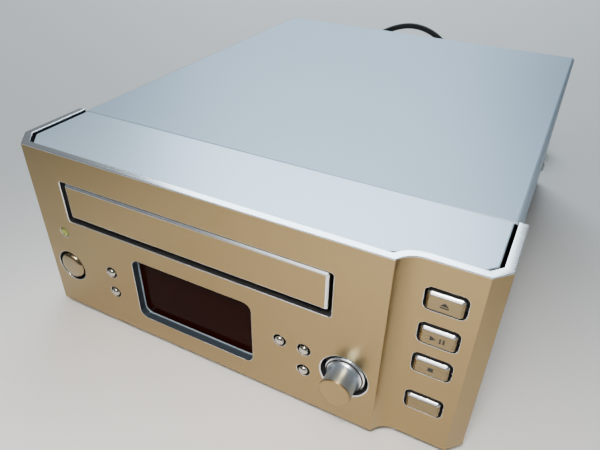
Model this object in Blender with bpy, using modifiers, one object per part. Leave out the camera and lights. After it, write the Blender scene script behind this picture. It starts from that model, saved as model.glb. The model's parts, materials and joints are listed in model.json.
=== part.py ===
"""Mini-component disc player with a front loading tray and a tuner. Metres, +Z up.

The player stands on z = 0 and faces -Y, and its origin is below the middle of its box.
Depths are measured backwards from the main face of the front panel, drops down from its top edge.
"""

import math

import bmesh
import bpy
from mathutils import Matrix, Vector

for item in list(bpy.data.objects):
    bpy.data.objects.remove(item, do_unlink=True)

# Case
PANEL_WIDTH = 0.215
PANEL_HEIGHT = 0.089
PANEL_WALL = 0.0035
FOOT_HEIGHT = 0.004
RETURN_DEPTH = 0.042
SEAT = 0.0003
OVERRUN = 0.003
MERGE = 0.00001

# Plan of the front panel
LEFT_CHAMFER_WIDTH = 0.008
LEFT_CHAMFER_DEPTH = 0.009
STEP_FROM_RIGHT = 0.035
STEP_RUN = 0.0085
STEP_DEPTH = 0.0056
RIGHT_CHAMFER_WIDTH = 0.0057
RIGHT_CHAMFER_DEPTH = 0.006

# Openings in the face
TRAY_SHIFT = 0.0029
TRAY_OPENING_WIDTH = 0.1328
TRAY_OPENING_DROP = 0.01405
TRAY_OPENING_HEIGHT = 0.02105
TRAY_OPENING_CORNER = 0.0014
DISPLAY_SHIFT = -0.0002
DISPLAY_WIDTH = 0.0627
DISPLAY_DROP = 0.0442
DISPLAY_HEIGHT = 0.034
DISPLAY_CORNER = 0.004

# Round controls: shares of the face left of the display and of the face right of it
LAMP_SHARE = 0.344
LAMP_DROP = 0.0431
LAMP_RADIUS = 0.0023
POWER_SHARE = 0.331
POWER_DROP = 0.0635
POWER_RADIUS = 0.0076
LEFT_BUTTONS_SHARE = 0.769
TUNING_DOWN_SHARE = 0.2386
TUNING_UP_SHARE = 0.437
JOG_SHARE = 0.7533
UPPER_BUTTONS_DROP = 0.0575
LOWER_BUTTONS_DROP = 0.0693
SMALL_RADIUS = 0.0023
JOG_DROP = 0.0634
JOG_RADIUS = 0.0066
JOG_SKIRT_RADIUS = 0.0089
JOG_REACH = 0.0092
HOLE_CLEARANCE = 0.0005
SMALL_TRAVEL = 0.0008
POWER_TRAVEL = 0.001
JOG_TRAVEL = 0.0006

# Rectangular keys in the recess
KEY_FROM_RIGHT = 0.0176
KEY_WIDTH = 0.0130
KEY_HEIGHT = 0.0079
KEY_CORNER = 0.0014
KEY_CLEARANCE = 0.0008
EJECT_DROP = 0.0157
PLAY_GAP = 0.0079
STOP_GAP = 0.0073
BAND_GAP = 0.0127
KEY_REACH = 0.0015

# Sheet metal and rear side
COVER_INSET = 0.0027
COVER_SHEET = 0.0009
COVER_DROP = 0.0008
COVER_BEND = 0.002
BEND_STEPS = 4
PAN_SHEET = 0.001
PAN_FLANGE = 0.012
SHEET_CLEARANCE = 0.0005
REAR_SHEET = 0.001
REAR_REACH = 0.009

# Disc and its loader
DISC_DIAMETER = 0.12
DISC_FRONT_DEPTH = 0.0105
TRAY_TRAVEL = 0.124
TRAY_LENGTH = 0.157
TRAY_THICKNESS = 0.007
TRAY_FLOOR = 0.003
DOOR_DROP = 0.0152
DOOR_HEIGHT = 0.0177
DOOR_WIDTH = 0.1289
DOOR_RECESS = 0.0003
DOOR_THICKNESS = 0.0036
DOOR_BEVEL = 0.0009
RACK_MODULE = 0.001
TRAIN_MODULE = 0.0008
TRAY_GEAR_DEPTH = 0.033
PRESSURE_ANGLE = math.radians(20)
TIP_SHARE = 0.8
ROOT_SHARE = 1.15
FLANK_CLEARANCE = 0.00012

# Room for the disc mechanism, from the panel to the rear bay
LOADER_FRONT_DEPTH = 0.009
MOTOR_RADIUS = 0.0122
MOTOR_FRONT_ROOM = 0.0003
MOTOR_REAR_ROOM = 0.0013
CAM_ROOM = 0.0003
PIN_ROOM = 0.0017
ROD_ROOM = 0.002
ROD_END_ROOM = 0.0055
SLED_CLEARANCE = 0.0045
SLED_MOTOR_ROOM = 0.0016
TRAVERSE_SIDE_GAP = 0.003
EAR_HALF = 0.005
TRAVERSE_END_GAP = 0.004
LOADER_END = 0.012
CAM_THICKNESS = 0.0022
PLATTER_RADIUS = 0.015
BLOCK_LENGTH = 0.003
SLED_LENGTH = 0.0215
SLED_TRAVEL = 0.032
SLED_TEETH = 16
SLED_RACK_X = 0.0305
SLED_MOTOR_RADIUS = 0.0085
REAR_BAY_DEPTH = 0.094

LOADER_BASE_DEPTH = TRAY_GEAR_DEPTH - MOTOR_RADIUS - MOTOR_FRONT_ROOM
HATCH_FRONT_DEPTH = TRAY_GEAR_DEPTH + MOTOR_RADIUS + MOTOR_REAR_ROOM
CAM_DEPTH = HATCH_FRONT_DEPTH + CAM_ROOM
TRAVERSE_FRONT_DEPTH = CAM_DEPTH + SEAT + CAM_THICKNESS + PIN_ROOM
SLED_FRONT_DEPTH = DISC_FRONT_DEPTH + DISC_DIAMETER / 2 + PLATTER_RADIUS + SLED_CLEARANCE
ROD_FRONT_DEPTH = SLED_FRONT_DEPTH - BLOCK_LENGTH - HOLE_CLEARANCE
ROD_REAR_DEPTH = SLED_FRONT_DEPTH + SLED_LENGTH + SLED_TRAVEL + ROD_ROOM + BLOCK_LENGTH
TRAVERSE_REAR_DEPTH = ROD_REAR_DEPTH + ROD_END_ROOM
HATCH_REAR_DEPTH = TRAVERSE_REAR_DEPTH + TRAVERSE_END_GAP
LOADER_REAR_DEPTH = HATCH_REAR_DEPTH + LOADER_END
HATCH_HALF = SLED_RACK_X + TRAIN_MODULE * SLED_TEETH / 2 + SLED_MOTOR_RADIUS + SLED_MOTOR_ROOM
TRAVERSE_HALF = HATCH_HALF - TRAVERSE_SIDE_GAP
CASE_DEPTH = LOADER_REAR_DEPTH + REAR_BAY_DEPTH

HALF_WIDTH = PANEL_WIDTH / 2
TOP_Z = FOOT_HEIGHT + PANEL_HEIGHT
FACE_Y = (JOG_REACH - CASE_DEPTH - REAR_REACH) / 2
CASE_TOP = TOP_Z - COVER_DROP
STEP_X = HALF_WIDTH - STEP_FROM_RIGHT
TRAY_X = (STEP_X - HALF_WIDTH) / 2 + TRAY_SHIFT
DISPLAY_X = TRAY_X + DISPLAY_SHIFT
LEFT_FACE = DISPLAY_X - DISPLAY_WIDTH / 2 + HALF_WIDTH
RIGHT_FACE = STEP_X - DISPLAY_X - DISPLAY_WIDTH / 2
LAMP_X = LEFT_FACE * LAMP_SHARE - HALF_WIDTH
POWER_X = LEFT_FACE * POWER_SHARE - HALF_WIDTH
LEFT_BUTTONS_X = LEFT_FACE * LEFT_BUTTONS_SHARE - HALF_WIDTH
TUNING_DOWN_X = STEP_X - RIGHT_FACE * (1 - TUNING_DOWN_SHARE)
TUNING_UP_X = STEP_X - RIGHT_FACE * (1 - TUNING_UP_SHARE)
JOG_X = STEP_X - RIGHT_FACE * (1 - JOG_SHARE)
KEY_X = HALF_WIDTH - KEY_FROM_RIGHT
PLAY_DROP = EJECT_DROP + KEY_HEIGHT + PLAY_GAP
STOP_DROP = PLAY_DROP + KEY_HEIGHT + STOP_GAP
BAND_DROP = STOP_DROP + KEY_HEIGHT + BAND_GAP
COVER_HALF = HALF_WIDTH - COVER_INSET
RECESS_Y = FACE_Y + STEP_DEPTH
PANEL_BACK = FACE_Y + PANEL_WALL
REAR_Y = FACE_Y + CASE_DEPTH

PARTS = bpy.data.collections.new("disc_player")
TOOLS = bpy.data.collections.new("cutters")
bpy.context.scene.collection.children.link(PARTS)
bpy.context.scene.collection.children.link(TOOLS)


def finish(name, colour, roughness, metallic=0.0):
    """One Principled material."""
    result = bpy.data.materials.new(name)
    result.use_nodes = True
    shader = result.node_tree.nodes["Principled BSDF"]
    shader.inputs["Base Color"].default_value = (*colour, 1.0)
    shader.inputs["Roughness"].default_value = roughness
    shader.inputs["Metallic"].default_value = metallic
    return result


CHAMPAGNE = finish("champagne_aluminium", (0.62, 0.55, 0.42), 0.35, 1.0)
CHROME = finish("polished_chrome", (0.75, 0.75, 0.74), 0.12, 1.0)
SILVER = finish("silver_plastic", (0.6, 0.63, 0.66), 0.4, 0.6)
COVER_PAINT = finish("silver_paint", (0.42, 0.43, 0.44), 0.45, 0.5)
ZINC = finish("zinc_sheet", (0.55, 0.56, 0.56), 0.4, 1.0)
BLACK = finish("black_plastic", (0.02, 0.02, 0.02), 0.5)
WHITE = finish("white_plastic", (0.75, 0.74, 0.7), 0.45)
SMOKE = finish("smoked_acrylic", (0.03, 0.01, 0.01), 0.08)
GREEN = finish("green_lens", (0.2, 0.6, 0.15), 0.2)
BOARD = finish("circuit_board", (0.25, 0.17, 0.06), 0.5)
RUBBER = finish("black_rubber", (0.015, 0.015, 0.015), 0.7)
IRON = finish("laminated_iron", (0.12, 0.11, 0.1), 0.5, 0.8)


def place(name, mesh, surface, smooth=False):
    """Link a mesh as one named part."""
    obj = bpy.data.objects.new(name, mesh)
    PARTS.objects.link(obj)
    mesh.materials.clear()
    mesh.materials.append(surface)
    if smooth:
        mesh.shade_smooth()
        mesh.set_sharp_from_angle(angle=math.radians(35))
    return obj


def block(name, low, high, surface=BLACK):
    """A box between two corners."""
    low, high = Vector(low), Vector(high)
    size, centre = high - low, (high + low) / 2
    shape = bmesh.new()
    bmesh.ops.create_cube(shape, size=1.0)
    for corner in shape.verts:
        corner.co = centre + corner.co * size
    mesh = bpy.data.meshes.new(name)
    shape.to_mesh(mesh)
    shape.free()
    return place(name, mesh, surface)


AXIS_TURN = {
    "X": Matrix.Rotation(math.radians(90), 4, "Y"),
    "Y": Matrix.Rotation(math.radians(-90), 4, "X"),
    "Z": Matrix.Identity(4),
    "-Y": Matrix.Rotation(math.radians(90), 4, "X"),
}


def rod(name, centre, radius, start, end, axis="Z", surface=BLACK, sides=16, tip=None):
    """A round bar along an axis from start to end; centre gives the other two coordinates."""
    shape = bmesh.new()
    bmesh.ops.create_cone(shape, cap_ends=True, segments=sides, radius1=radius,
                          radius2=radius if tip is None else tip, depth=end - start)
    middle = list(centre)
    middle.insert("XYZ".index(axis), (start + end) / 2)
    bmesh.ops.transform(shape, matrix=Matrix.Translation(middle) @ AXIS_TURN[axis], verts=shape.verts)
    mesh = bpy.data.meshes.new(name)
    shape.to_mesh(mesh)
    shape.free()
    return place(name, mesh, surface, smooth=True)


def turned(name, profile, base, axis="Z", surface=BLACK, sides=24, ring=False):
    """A profile of (radius, height) points, top to bottom, turned about an axis through base."""
    mesh = bpy.data.meshes.new(name)
    count = len(profile)
    edges = [(k, k + 1) for k in range(count - 1)]
    if ring:
        edges.append((count - 1, 0))
    mesh.from_pydata([(radius, 0, height) for radius, height in profile], edges, [])
    obj = place(name, mesh, surface)
    screw = obj.modifiers.new("turn", "SCREW")
    screw.steps = screw.render_steps = sides
    screw.use_merge_vertices = True
    screw.merge_threshold = MERGE
    screw.use_smooth_shade = False
    return baked(obj, Matrix.Translation(base) @ AXIS_TURN[axis], smooth=True)


def baked(obj, matrix=None, smooth=False):
    """Replace an object's mesh by its evaluated one, moved by matrix, with its faces turned out."""
    bpy.context.view_layer.update()
    source = obj.evaluated_get(bpy.context.evaluated_depsgraph_get())
    mesh = bpy.data.meshes.new_from_object(source)
    shape = bmesh.new()
    shape.from_mesh(mesh)
    bmesh.ops.remove_doubles(shape, verts=shape.verts, dist=MERGE)
    if matrix is not None:
        bmesh.ops.transform(shape, matrix=matrix, verts=shape.verts)
    bmesh.ops.recalc_face_normals(shape, faces=shape.faces)
    shape.to_mesh(mesh)
    shape.free()
    name, surface = obj.name, obj.data.materials[0]
    bpy.data.objects.remove(obj, do_unlink=True)
    return place(name, mesh, surface, smooth)


PLANES = {
    "XY": Matrix.Identity(4),
    "XZ": Matrix(((1, 0, 0, 0), (0, 0, 1, 0), (0, 1, 0, 0), (0, 0, 0, 1))),
    "YZ": Matrix(((0, 0, 1, 0), (1, 0, 0, 0), (0, 1, 0, 0), (0, 0, 0, 1))),
}


def prism(name, loops, plane, start, end, surface=BLACK, smooth=False):
    """Closed outlines in a plane, the first one outside and the others holes, pushed from start to end."""
    curve = bpy.data.curves.new(name, "CURVE")
    curve.dimensions = "2D"
    curve.fill_mode = "BOTH"
    curve.extrude = (end - start) / 2
    for loop in loops:
        spline = curve.splines.new("POLY")
        spline.points.add(len(loop) - 1)
        for point, (across, along) in zip(spline.points, loop):
            point.co = (across, along, 0, 1)
        spline.use_cyclic_u = True
    obj = bpy.data.objects.new(name, curve)
    PARTS.objects.link(obj)
    curve.materials.append(surface)
    matrix = PLANES[plane] @ Matrix.Translation((0, 0, (start + end) / 2))
    return baked(obj, matrix, smooth)


def tube(name, points, radius, resolution, surface):
    """A closed round tube along points."""
    curve = bpy.data.curves.new(name, "CURVE")
    curve.dimensions = "3D"
    curve.bevel_depth = radius
    curve.bevel_resolution = resolution
    curve.use_fill_caps = True
    spline = curve.splines.new("POLY")
    spline.points.add(len(points) - 1)
    for point, place_at in zip(spline.points, points):
        point.co = (*place_at, 1)
    obj = bpy.data.objects.new(name, curve)
    PARTS.objects.link(obj)
    curve.materials.append(surface)
    return obj


def shaped(obj, operation, tools):
    """Cut or join solids with Boolean modifiers, and keep the tools hidden in their own collection."""
    for tool in tools:
        change = obj.modifiers.new(operation.lower(), "BOOLEAN")
        change.operation = operation
        change.solver = "EXACT"
        change.object = tool
        PARTS.objects.unlink(tool)
        TOOLS.objects.link(tool)
        tool.hide_render = True
        tool.display_type = "WIRE"
    return obj


def cut(obj, *tools):
    return shaped(obj, "DIFFERENCE", tools)


def joined(obj, *tools):
    return shaped(obj, "UNION", tools)


def circle(centre, radius, sides=16):
    """Points round a circle."""
    steps = (math.tau * k / sides for k in range(sides))
    return [(centre[0] + radius * math.cos(a), centre[1] + radius * math.sin(a)) for a in steps]


def rectangle(left, right, low, high):
    return [(left, low), (right, low), (right, high), (left, high)]


def rounded(centre, width, height, radius, steps=3):
    """A rectangle with round corners."""
    points = []
    for quarter, (side, level) in enumerate(((1, 1), (-1, 1), (-1, -1), (1, -1))):
        middle = (centre[0] + side * (width / 2 - radius), centre[1] + level * (height / 2 - radius))
        for k in range(steps + 1):
            turn = math.radians(90) * (quarter + k / steps)
            points.append((middle[0] + radius * math.cos(turn), middle[1] + radius * math.sin(turn)))
    return points


def inset(points, distances):
    """Move each edge of an open outline to its left by its own distance, and join them again."""
    lines = []
    for (a, b), distance in zip(zip(points, points[1:]), distances):
        along = Vector((b[0] - a[0], b[1] - a[1])).normalized()
        aside = Vector((-along.y, along.x)) * distance
        lines.append((Vector(a) + aside, along, Vector(b) + aside))
    result = [tuple(lines[0][0])]
    for (start, along, _), (other, other_along, _) in zip(lines, lines[1:]):
        bend = along.x * other_along.y - along.y * other_along.x
        gap = other - start
        result.append(tuple(start + along * ((gap.x * other_along.y - gap.y * other_along.x) / bend)))
    result.append(tuple(lines[-1][2]))
    return result


def shifted(points, across, along):
    return [(x + across, y + along) for x, y in points]


def gear_outline(centre, teeth, module, phase=0.0):
    """Involute stub teeth with room for the mating flank."""
    pitch = module * teeth / 2
    base = pitch * math.cos(PRESSURE_ANGLE)
    tip = pitch + module * TIP_SHARE
    root = pitch - module * ROOT_SHARE
    half = math.radians(90) / teeth - FLANK_CLEARANCE / (2 * pitch)
    half += math.tan(PRESSURE_ANGLE) - PRESSURE_ANGLE

    def flank(radius):
        angle = math.acos(min(1.0, base / radius))
        return half - (math.tan(angle) - angle)

    radii = [max(root, base), tip]
    profile = [(root, flank(radii[0]))] + [(radius, flank(radius)) for radius in radii]
    points = []
    for k in range(teeth):
        middle = phase + math.tau * k / teeth
        sides = [(r, middle - a) for r, a in profile] + [(r, middle + a) for r, a in reversed(profile)]
        points += [(centre[0] + r * math.cos(a), centre[1] + r * math.sin(a)) for r, a in sides]
    return cleaned(points)


def cleaned(points):
    """Leave out points that repeat the one before."""
    result = []
    for point in points:
        if not result or math.dist(point, result[-1]) > MERGE:
            result.append(point)
    return result


def rack_outline(pitch_x, back_x, mesh_y, low_y, high_y, module):
    """A rack whose teeth point towards the gear, with a space facing the gear at mesh_y."""
    side = math.copysign(1, pitch_x - back_x)
    pitch = math.pi * module
    half = pitch / 4 - FLANK_CLEARANCE / 2
    slope = math.tan(PRESSURE_ANGLE)
    tip, root = module * TIP_SHARE, module * ROOT_SHARE
    first = math.ceil((low_y - mesh_y) / pitch - 1 / 2 + half / pitch + 1 / 4)
    last = math.floor((high_y - mesh_y) / pitch - 1 / 2 - half / pitch - 1 / 4)
    points = [(back_x, low_y), (pitch_x - side * root, low_y)]
    for k in range(first, last + 1):
        middle = mesh_y + (k + 1 / 2) * pitch
        points += [
            (pitch_x - side * root, middle - half - root * slope),
            (pitch_x + side * tip, middle - half + tip * slope),
            (pitch_x + side * tip, middle + half - tip * slope),
            (pitch_x - side * root, middle + half + root * slope),
        ]
    return points + [(pitch_x - side * root, high_y), (back_x, high_y)]


# Front panel: one extruded section with side returns

STEP_ARC_POINTS = 7
FINE_STEPS = 4
PLAIN_STEPS = 3
COARSE_STEPS = 2


def panel_corners():
    """The corners of the panel from above, with a straight slope for the step's curve."""
    return [
        (-HALF_WIDTH, RETURN_DEPTH),
        (-HALF_WIDTH, LEFT_CHAMFER_DEPTH),
        (-HALF_WIDTH + LEFT_CHAMFER_WIDTH, 0),
        (STEP_X, 0),
        (STEP_X + STEP_RUN, STEP_DEPTH),
        (HALF_WIDTH - RIGHT_CHAMFER_WIDTH, STEP_DEPTH),
        (HALF_WIDTH, STEP_DEPTH + RIGHT_CHAMFER_DEPTH),
        (HALF_WIDTH, RETURN_DEPTH),
    ]


def panel_line(depth):
    """A line that runs depth inside the panel's outer line, with the step's curve."""
    corners = panel_corners()
    left, right = inset(corners[:4], [depth] * 3)[:3], inset(corners[4:], [depth] * 3)[1:]
    radius = (STEP_RUN ** 2 + STEP_DEPTH ** 2) / (2 * STEP_DEPTH)
    middle = Vector((STEP_X + STEP_RUN, STEP_DEPTH - radius))
    radius += depth
    sweep = math.acos((depth - middle.y) / radius)
    turns = [sweep * (1 - k / STEP_ARC_POINTS) for k in range(STEP_ARC_POINTS + 1)]
    arc = [(middle.x - radius * math.sin(turn), middle.y + radius * math.cos(turn)) for turn in turns]
    return left + arc + right


def window(name, centre, width, height, corner, near, far, steps=PLAIN_STEPS):
    """A cutter for a rounded rectangular opening in an upright wall."""
    return prism(name, [rounded(centre, width, height, corner, steps)], "XZ", near, far)


SMALL_BUTTONS = {
    "timer_button": (LEFT_BUTTONS_X, UPPER_BUTTONS_DROP),
    "display_button": (LEFT_BUTTONS_X, LOWER_BUTTONS_DROP),
    "tuning_down_button": (TUNING_DOWN_X, UPPER_BUTTONS_DROP),
    "tuning_up_button": (TUNING_UP_X, UPPER_BUTTONS_DROP),
    "mode_button": (TUNING_UP_X, LOWER_BUTTONS_DROP),
}
KEYS = {
    "eject_key": EJECT_DROP,
    "play_pause_key": PLAY_DROP,
    "stop_key": STOP_DROP,
    "band_key": BAND_DROP,
}
JOG_CLEARANCE = 0.0013


def front_panel():
    plan = shifted(panel_line(0) + panel_line(PANEL_WALL)[::-1], 0, FACE_Y)
    panel = prism("front_panel", [plan], "XY", FOOT_HEIGHT, TOP_Z, CHAMPAGNE)
    near, far = FACE_Y - OVERRUN, PANEL_BACK + OVERRUN
    tray_centre = (TRAY_X, TOP_Z - TRAY_OPENING_DROP - TRAY_OPENING_HEIGHT / 2)
    display_centre = (DISPLAY_X, TOP_Z - DISPLAY_DROP - DISPLAY_HEIGHT / 2)
    tools = [
        window("tray_cut", tray_centre, TRAY_OPENING_WIDTH, TRAY_OPENING_HEIGHT, TRAY_OPENING_CORNER,
               near, far),
        window("display_cut", display_centre, DISPLAY_WIDTH, DISPLAY_HEIGHT, DISPLAY_CORNER,
               near, far, FINE_STEPS),
        rod("power_cut", (POWER_X, TOP_Z - POWER_DROP), POWER_RADIUS + HOLE_CLEARANCE, near, far, "Y",
            sides=24),
        rod("lamp_cut", (LAMP_X, TOP_Z - LAMP_DROP), LAMP_RADIUS + SEAT, near, far, "Y"),
        rod("jog_cut", (JOG_X, TOP_Z - JOG_DROP), JOG_SKIRT_RADIUS + JOG_CLEARANCE, near, far, "Y",
            sides=32),
    ]
    for name, (across, drop) in SMALL_BUTTONS.items():
        tools.append(rod(name + "_cut", (across, TOP_Z - drop), SMALL_RADIUS + HOLE_CLEARANCE, near, far,
                         "Y"))
    for name, drop in KEYS.items():
        tools.append(window(name + "_cut", (KEY_X, TOP_Z - drop), KEY_WIDTH + 2 * KEY_CLEARANCE,
                            KEY_HEIGHT + 2 * KEY_CLEARANCE, KEY_CORNER + KEY_CLEARANCE,
                            near, RECESS_Y + PANEL_WALL + OVERRUN))
    cut(panel, *tools)


# Inner bezel: moulded shell behind the panel, its top is the ledge in front of the cover

BEZEL_WALL = 0.002
BEZEL_GAP = 0.0004
BEZEL_SIDE_GAP = 0.0014
BEZEL_STEP_GAP = 0.0024
BEZEL_FLOOR_GAP = 0.0003
COLLAR_THICKNESS = 0.001
COLLAR_RIM = 0.0009
COLLAR_ROOM = 0.0004
WINDOW_THICKNESS = 0.0021
WINDOW_LAP = 0.002
BOARD_DEPTH = 0.017
BOARD_THICKNESS = 0.0016
BOARD_BOTTOM = 0.009
BOARD_TOP = 0.0555
BOARD_SIDE_INSET = 0.0095
BOARD_STEP_REACH = 0.003
KEY_BOARD_STEP_GAP = 0.007
KEY_BOARD_INSET = 0.008
KEY_BOARD_TOP = 0.0865
BOSS_RADIUS = 0.003
BOSS_INSET = 0.006
RIGHT_BOSS_INSET = 0.012
UPPER_BOSS_INSET = 0.018
TRAY_PASS_CLEARANCE = 0.0006

BEZEL_BACK = PANEL_BACK + BEZEL_GAP + BEZEL_WALL
COLLAR_FRONT = PANEL_BACK + SEAT
BOARD_FRONT = FACE_Y + BOARD_DEPTH
BOARD_LEFT = BOARD_SIDE_INSET - HALF_WIDTH
BOARD_RIGHT = STEP_X + BOARD_STEP_REACH
KEY_BOARD_LEFT = STEP_X + KEY_BOARD_STEP_GAP
KEY_BOARD_RIGHT = HALF_WIDTH - KEY_BOARD_INSET
KEY_BOARD_FRONT = BOARD_FRONT + STEP_DEPTH
BEZEL_LOW = FOOT_HEIGHT + PAN_SHEET + BEZEL_FLOOR_GAP
KEY_BOSS_LEVELS = (BOARD_BOTTOM + BOSS_INSET / 2, TOP_Z - (STOP_DROP + BAND_DROP) / 2)


def bezel_line(extra):
    """The bezel's outline from above, extra further in than its outer face."""
    side = PANEL_WALL + BEZEL_SIDE_GAP + extra
    face = PANEL_WALL + BEZEL_GAP + extra
    step = PANEL_WALL + BEZEL_STEP_GAP + extra
    return shifted(inset(panel_corners(), [side, side, face, step, face, side, side]), 0, FACE_Y)


def inner_bezel():
    outer, inner = bezel_line(0), bezel_line(BEZEL_WALL)
    bezel = prism("inner_bezel", [outer], "XY", BEZEL_LOW, CASE_TOP, SILVER)
    inner[0] = (inner[0][0], inner[0][1] + OVERRUN)
    inner[-1] = (inner[-1][0], inner[-1][1] + OVERRUN)
    hollow = prism("bezel_hollow", [inner], "XY", BEZEL_LOW - OVERRUN, CASE_TOP - BEZEL_WALL)
    bosses = []
    low, high = BOARD_BOTTOM + BOSS_INSET, BOARD_TOP - BOSS_INSET
    spots = [(BOARD_LEFT + BOSS_INSET, low), (BOARD_RIGHT - RIGHT_BOSS_INSET, low),
             (JOG_X + BOSS_INSET, high), (BOARD_LEFT + UPPER_BOSS_INSET, high)]
    for k, (across, level) in enumerate(spots):
        bosses.append(rod(f"board_boss_{k}", (across, level), BOSS_RADIUS, BEZEL_BACK - BEZEL_WALL / 2,
                          BOARD_FRONT - SEAT, "Y", sides=12))
    for k, level in enumerate(KEY_BOSS_LEVELS):
        bosses.append(rod(f"key_boss_{k}", (KEY_X, level), BOSS_RADIUS,
                          BEZEL_BACK + STEP_DEPTH - BEZEL_WALL / 2, KEY_BOARD_FRONT - SEAT, "Y", sides=12))
    near, far = FACE_Y, BEZEL_BACK + STEP_DEPTH + OVERRUN
    room = COLLAR_RIM + COLLAR_ROOM
    tray_centre = (TRAY_X, TOP_Z - TRAY_OPENING_DROP - TRAY_OPENING_HEIGHT / 2)
    display_centre = (DISPLAY_X, TOP_Z - DISPLAY_DROP - DISPLAY_HEIGHT / 2)
    pocket = WINDOW_LAP + SEAT
    tools = [
        window("tray_pass", tray_centre, TRAY_OPENING_WIDTH + 2 * TRAY_PASS_CLEARANCE,
               TRAY_OPENING_HEIGHT + 2 * TRAY_PASS_CLEARANCE, TRAY_OPENING_CORNER, near, far, COARSE_STEPS),
        window("window_pocket", display_centre, DISPLAY_WIDTH + 2 * pocket, DISPLAY_HEIGHT + 2 * pocket,
               DISPLAY_CORNER, near, far, COARSE_STEPS),
        rod("power_pass", (POWER_X, TOP_Z - POWER_DROP), POWER_RADIUS + room, near, far, "Y", sides=24),
        rod("lamp_pass", (LAMP_X, TOP_Z - LAMP_DROP), LAMP_RADIUS + room, near, far, "Y"),
        rod("jog_pass", (JOG_X, TOP_Z - JOG_DROP), JOG_SKIRT_RADIUS + room, near, far, "Y", sides=24),
    ]
    for name, (across, drop) in SMALL_BUTTONS.items():
        tools.append(rod(name + "_pass", (across, TOP_Z - drop), SMALL_RADIUS + room, near, far, "Y",
                         sides=12))
    for name, drop in KEYS.items():
        tools.append(window(name + "_pass", (KEY_X, TOP_Z - drop), KEY_WIDTH + 2 * room,
                            KEY_HEIGHT + 2 * room, KEY_CORNER + room, near, far, COARSE_STEPS))
    cut(bezel, hollow)
    joined(bezel, *bosses)
    cut(bezel, *tools)
    glass = window("display_window", display_centre, DISPLAY_WIDTH + 2 * WINDOW_LAP,
                   DISPLAY_HEIGHT + 2 * WINDOW_LAP, DISPLAY_CORNER, COLLAR_FRONT,
                   COLLAR_FRONT + WINDOW_THICKNESS)
    glass.data.materials[0] = SMOKE


# Boards with their switches, display tube, lamp and encoder

SWITCH_WIDTH = 0.006
SWITCH_HEIGHT = 0.004
LAMP_LENGTH = 0.0045
TUBE_MARGIN = 0.0015
TUBE_THICKNESS = 0.0075
ENCODER_WIDTH = 0.0125
ENCODER_DEPTH = 0.0065
SHAFT_RADIUS = 0.003
BORE_CLEARANCE = 0.0003
ENCODER_WALL = 0.0015
JOINT_LAP = 0.0002
LENS_REACH = 0.0008
LENS_SHOULDER_SHARE = 0.8

COLLAR_START = COLLAR_FRONT - FACE_Y
LENS_LENGTH = BOARD_DEPTH - LAMP_LENGTH - SEAT
ENCODER_FLOOR = BOARD_FRONT - SEAT - ENCODER_WALL


def switch(name, across, level, board_front):
    """A push switch that stands on the front of its board."""
    half = SWITCH_WIDTH / 2
    return block(name + "_switch", (across - half, board_front - SWITCH_HEIGHT, level - half),
                 (across + half, board_front + JOINT_LAP, level + half))


def boards():
    board = block("front_board", (BOARD_LEFT, BOARD_FRONT, BOARD_BOTTOM),
                  (BOARD_RIGHT, BOARD_FRONT + BOARD_THICKNESS, BOARD_TOP), BOARD)
    parts = [switch("power", POWER_X, TOP_Z - POWER_DROP, BOARD_FRONT)]
    for name, (across, drop) in SMALL_BUTTONS.items():
        parts.append(switch(name, across, TOP_Z - drop, BOARD_FRONT))
    parts.append(rod("lamp_body", (LAMP_X, TOP_Z - LAMP_DROP), LAMP_RADIUS, BOARD_FRONT - LAMP_LENGTH,
                     BOARD_FRONT + JOINT_LAP, "Y"))
    joined(board, *parts)
    keys = block("key_board", (KEY_BOARD_LEFT, KEY_BOARD_FRONT, BOARD_BOTTOM),
                 (KEY_BOARD_RIGHT, KEY_BOARD_FRONT + BOARD_THICKNESS, KEY_BOARD_TOP), BOARD)
    joined(keys, *[switch(name, KEY_X, TOP_Z - drop, KEY_BOARD_FRONT) for name, drop in KEYS.items()])
    centre = (DISPLAY_X, TOP_Z - DISPLAY_DROP - DISPLAY_HEIGHT / 2)
    tube_back = BOARD_FRONT - SEAT
    glass = window("display_tube", centre, DISPLAY_WIDTH - 2 * TUBE_MARGIN, DISPLAY_HEIGHT - 2 * TUBE_MARGIN,
                   TUBE_MARGIN, tube_back - TUBE_THICKNESS, tube_back)
    glass.data.materials[0] = SMOKE
    rim = LAMP_RADIUS + COLLAR_RIM
    rim_back = -COLLAR_START - COLLAR_THICKNESS
    lens = [(0, LENS_REACH), (LAMP_RADIUS / 2, LENS_REACH * LENS_SHOULDER_SHARE), (LAMP_RADIUS, 0),
            (LAMP_RADIUS, -COLLAR_START), (rim, -COLLAR_START), (rim, rim_back), (LAMP_RADIUS, rim_back),
            (LAMP_RADIUS, -LENS_LENGTH), (0, -LENS_LENGTH)]
    turned("indicator_lens", lens, (LAMP_X, FACE_Y, TOP_Z - LAMP_DROP), "-Y", GREEN, 16)
    half = ENCODER_WIDTH / 2
    level = TOP_Z - JOG_DROP
    encoder = block("jog_encoder", (JOG_X - half, BOARD_FRONT - SEAT - ENCODER_DEPTH, level - half),
                    (JOG_X + half, BOARD_FRONT - SEAT, level + half), ZINC)
    cut(encoder, rod("encoder_bore", (JOG_X, level), SHAFT_RADIUS + BORE_CLEARANCE,
                     BOARD_FRONT - ENCODER_DEPTH - OVERRUN, ENCODER_FLOOR, "Y"))


# Buttons: cap in the panel, collar behind it, stem towards the switch

CAP_REACH = 0.0014
POWER_REACH = 0.0018
DOME_SHARES = ((0.45, 0.95), (0.8, 0.72), (1.0, 0.45))
STEM_RADIUS = 0.0016
KEY_BEVEL = 0.0009
FLAT_SHARE = 0.5


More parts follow.
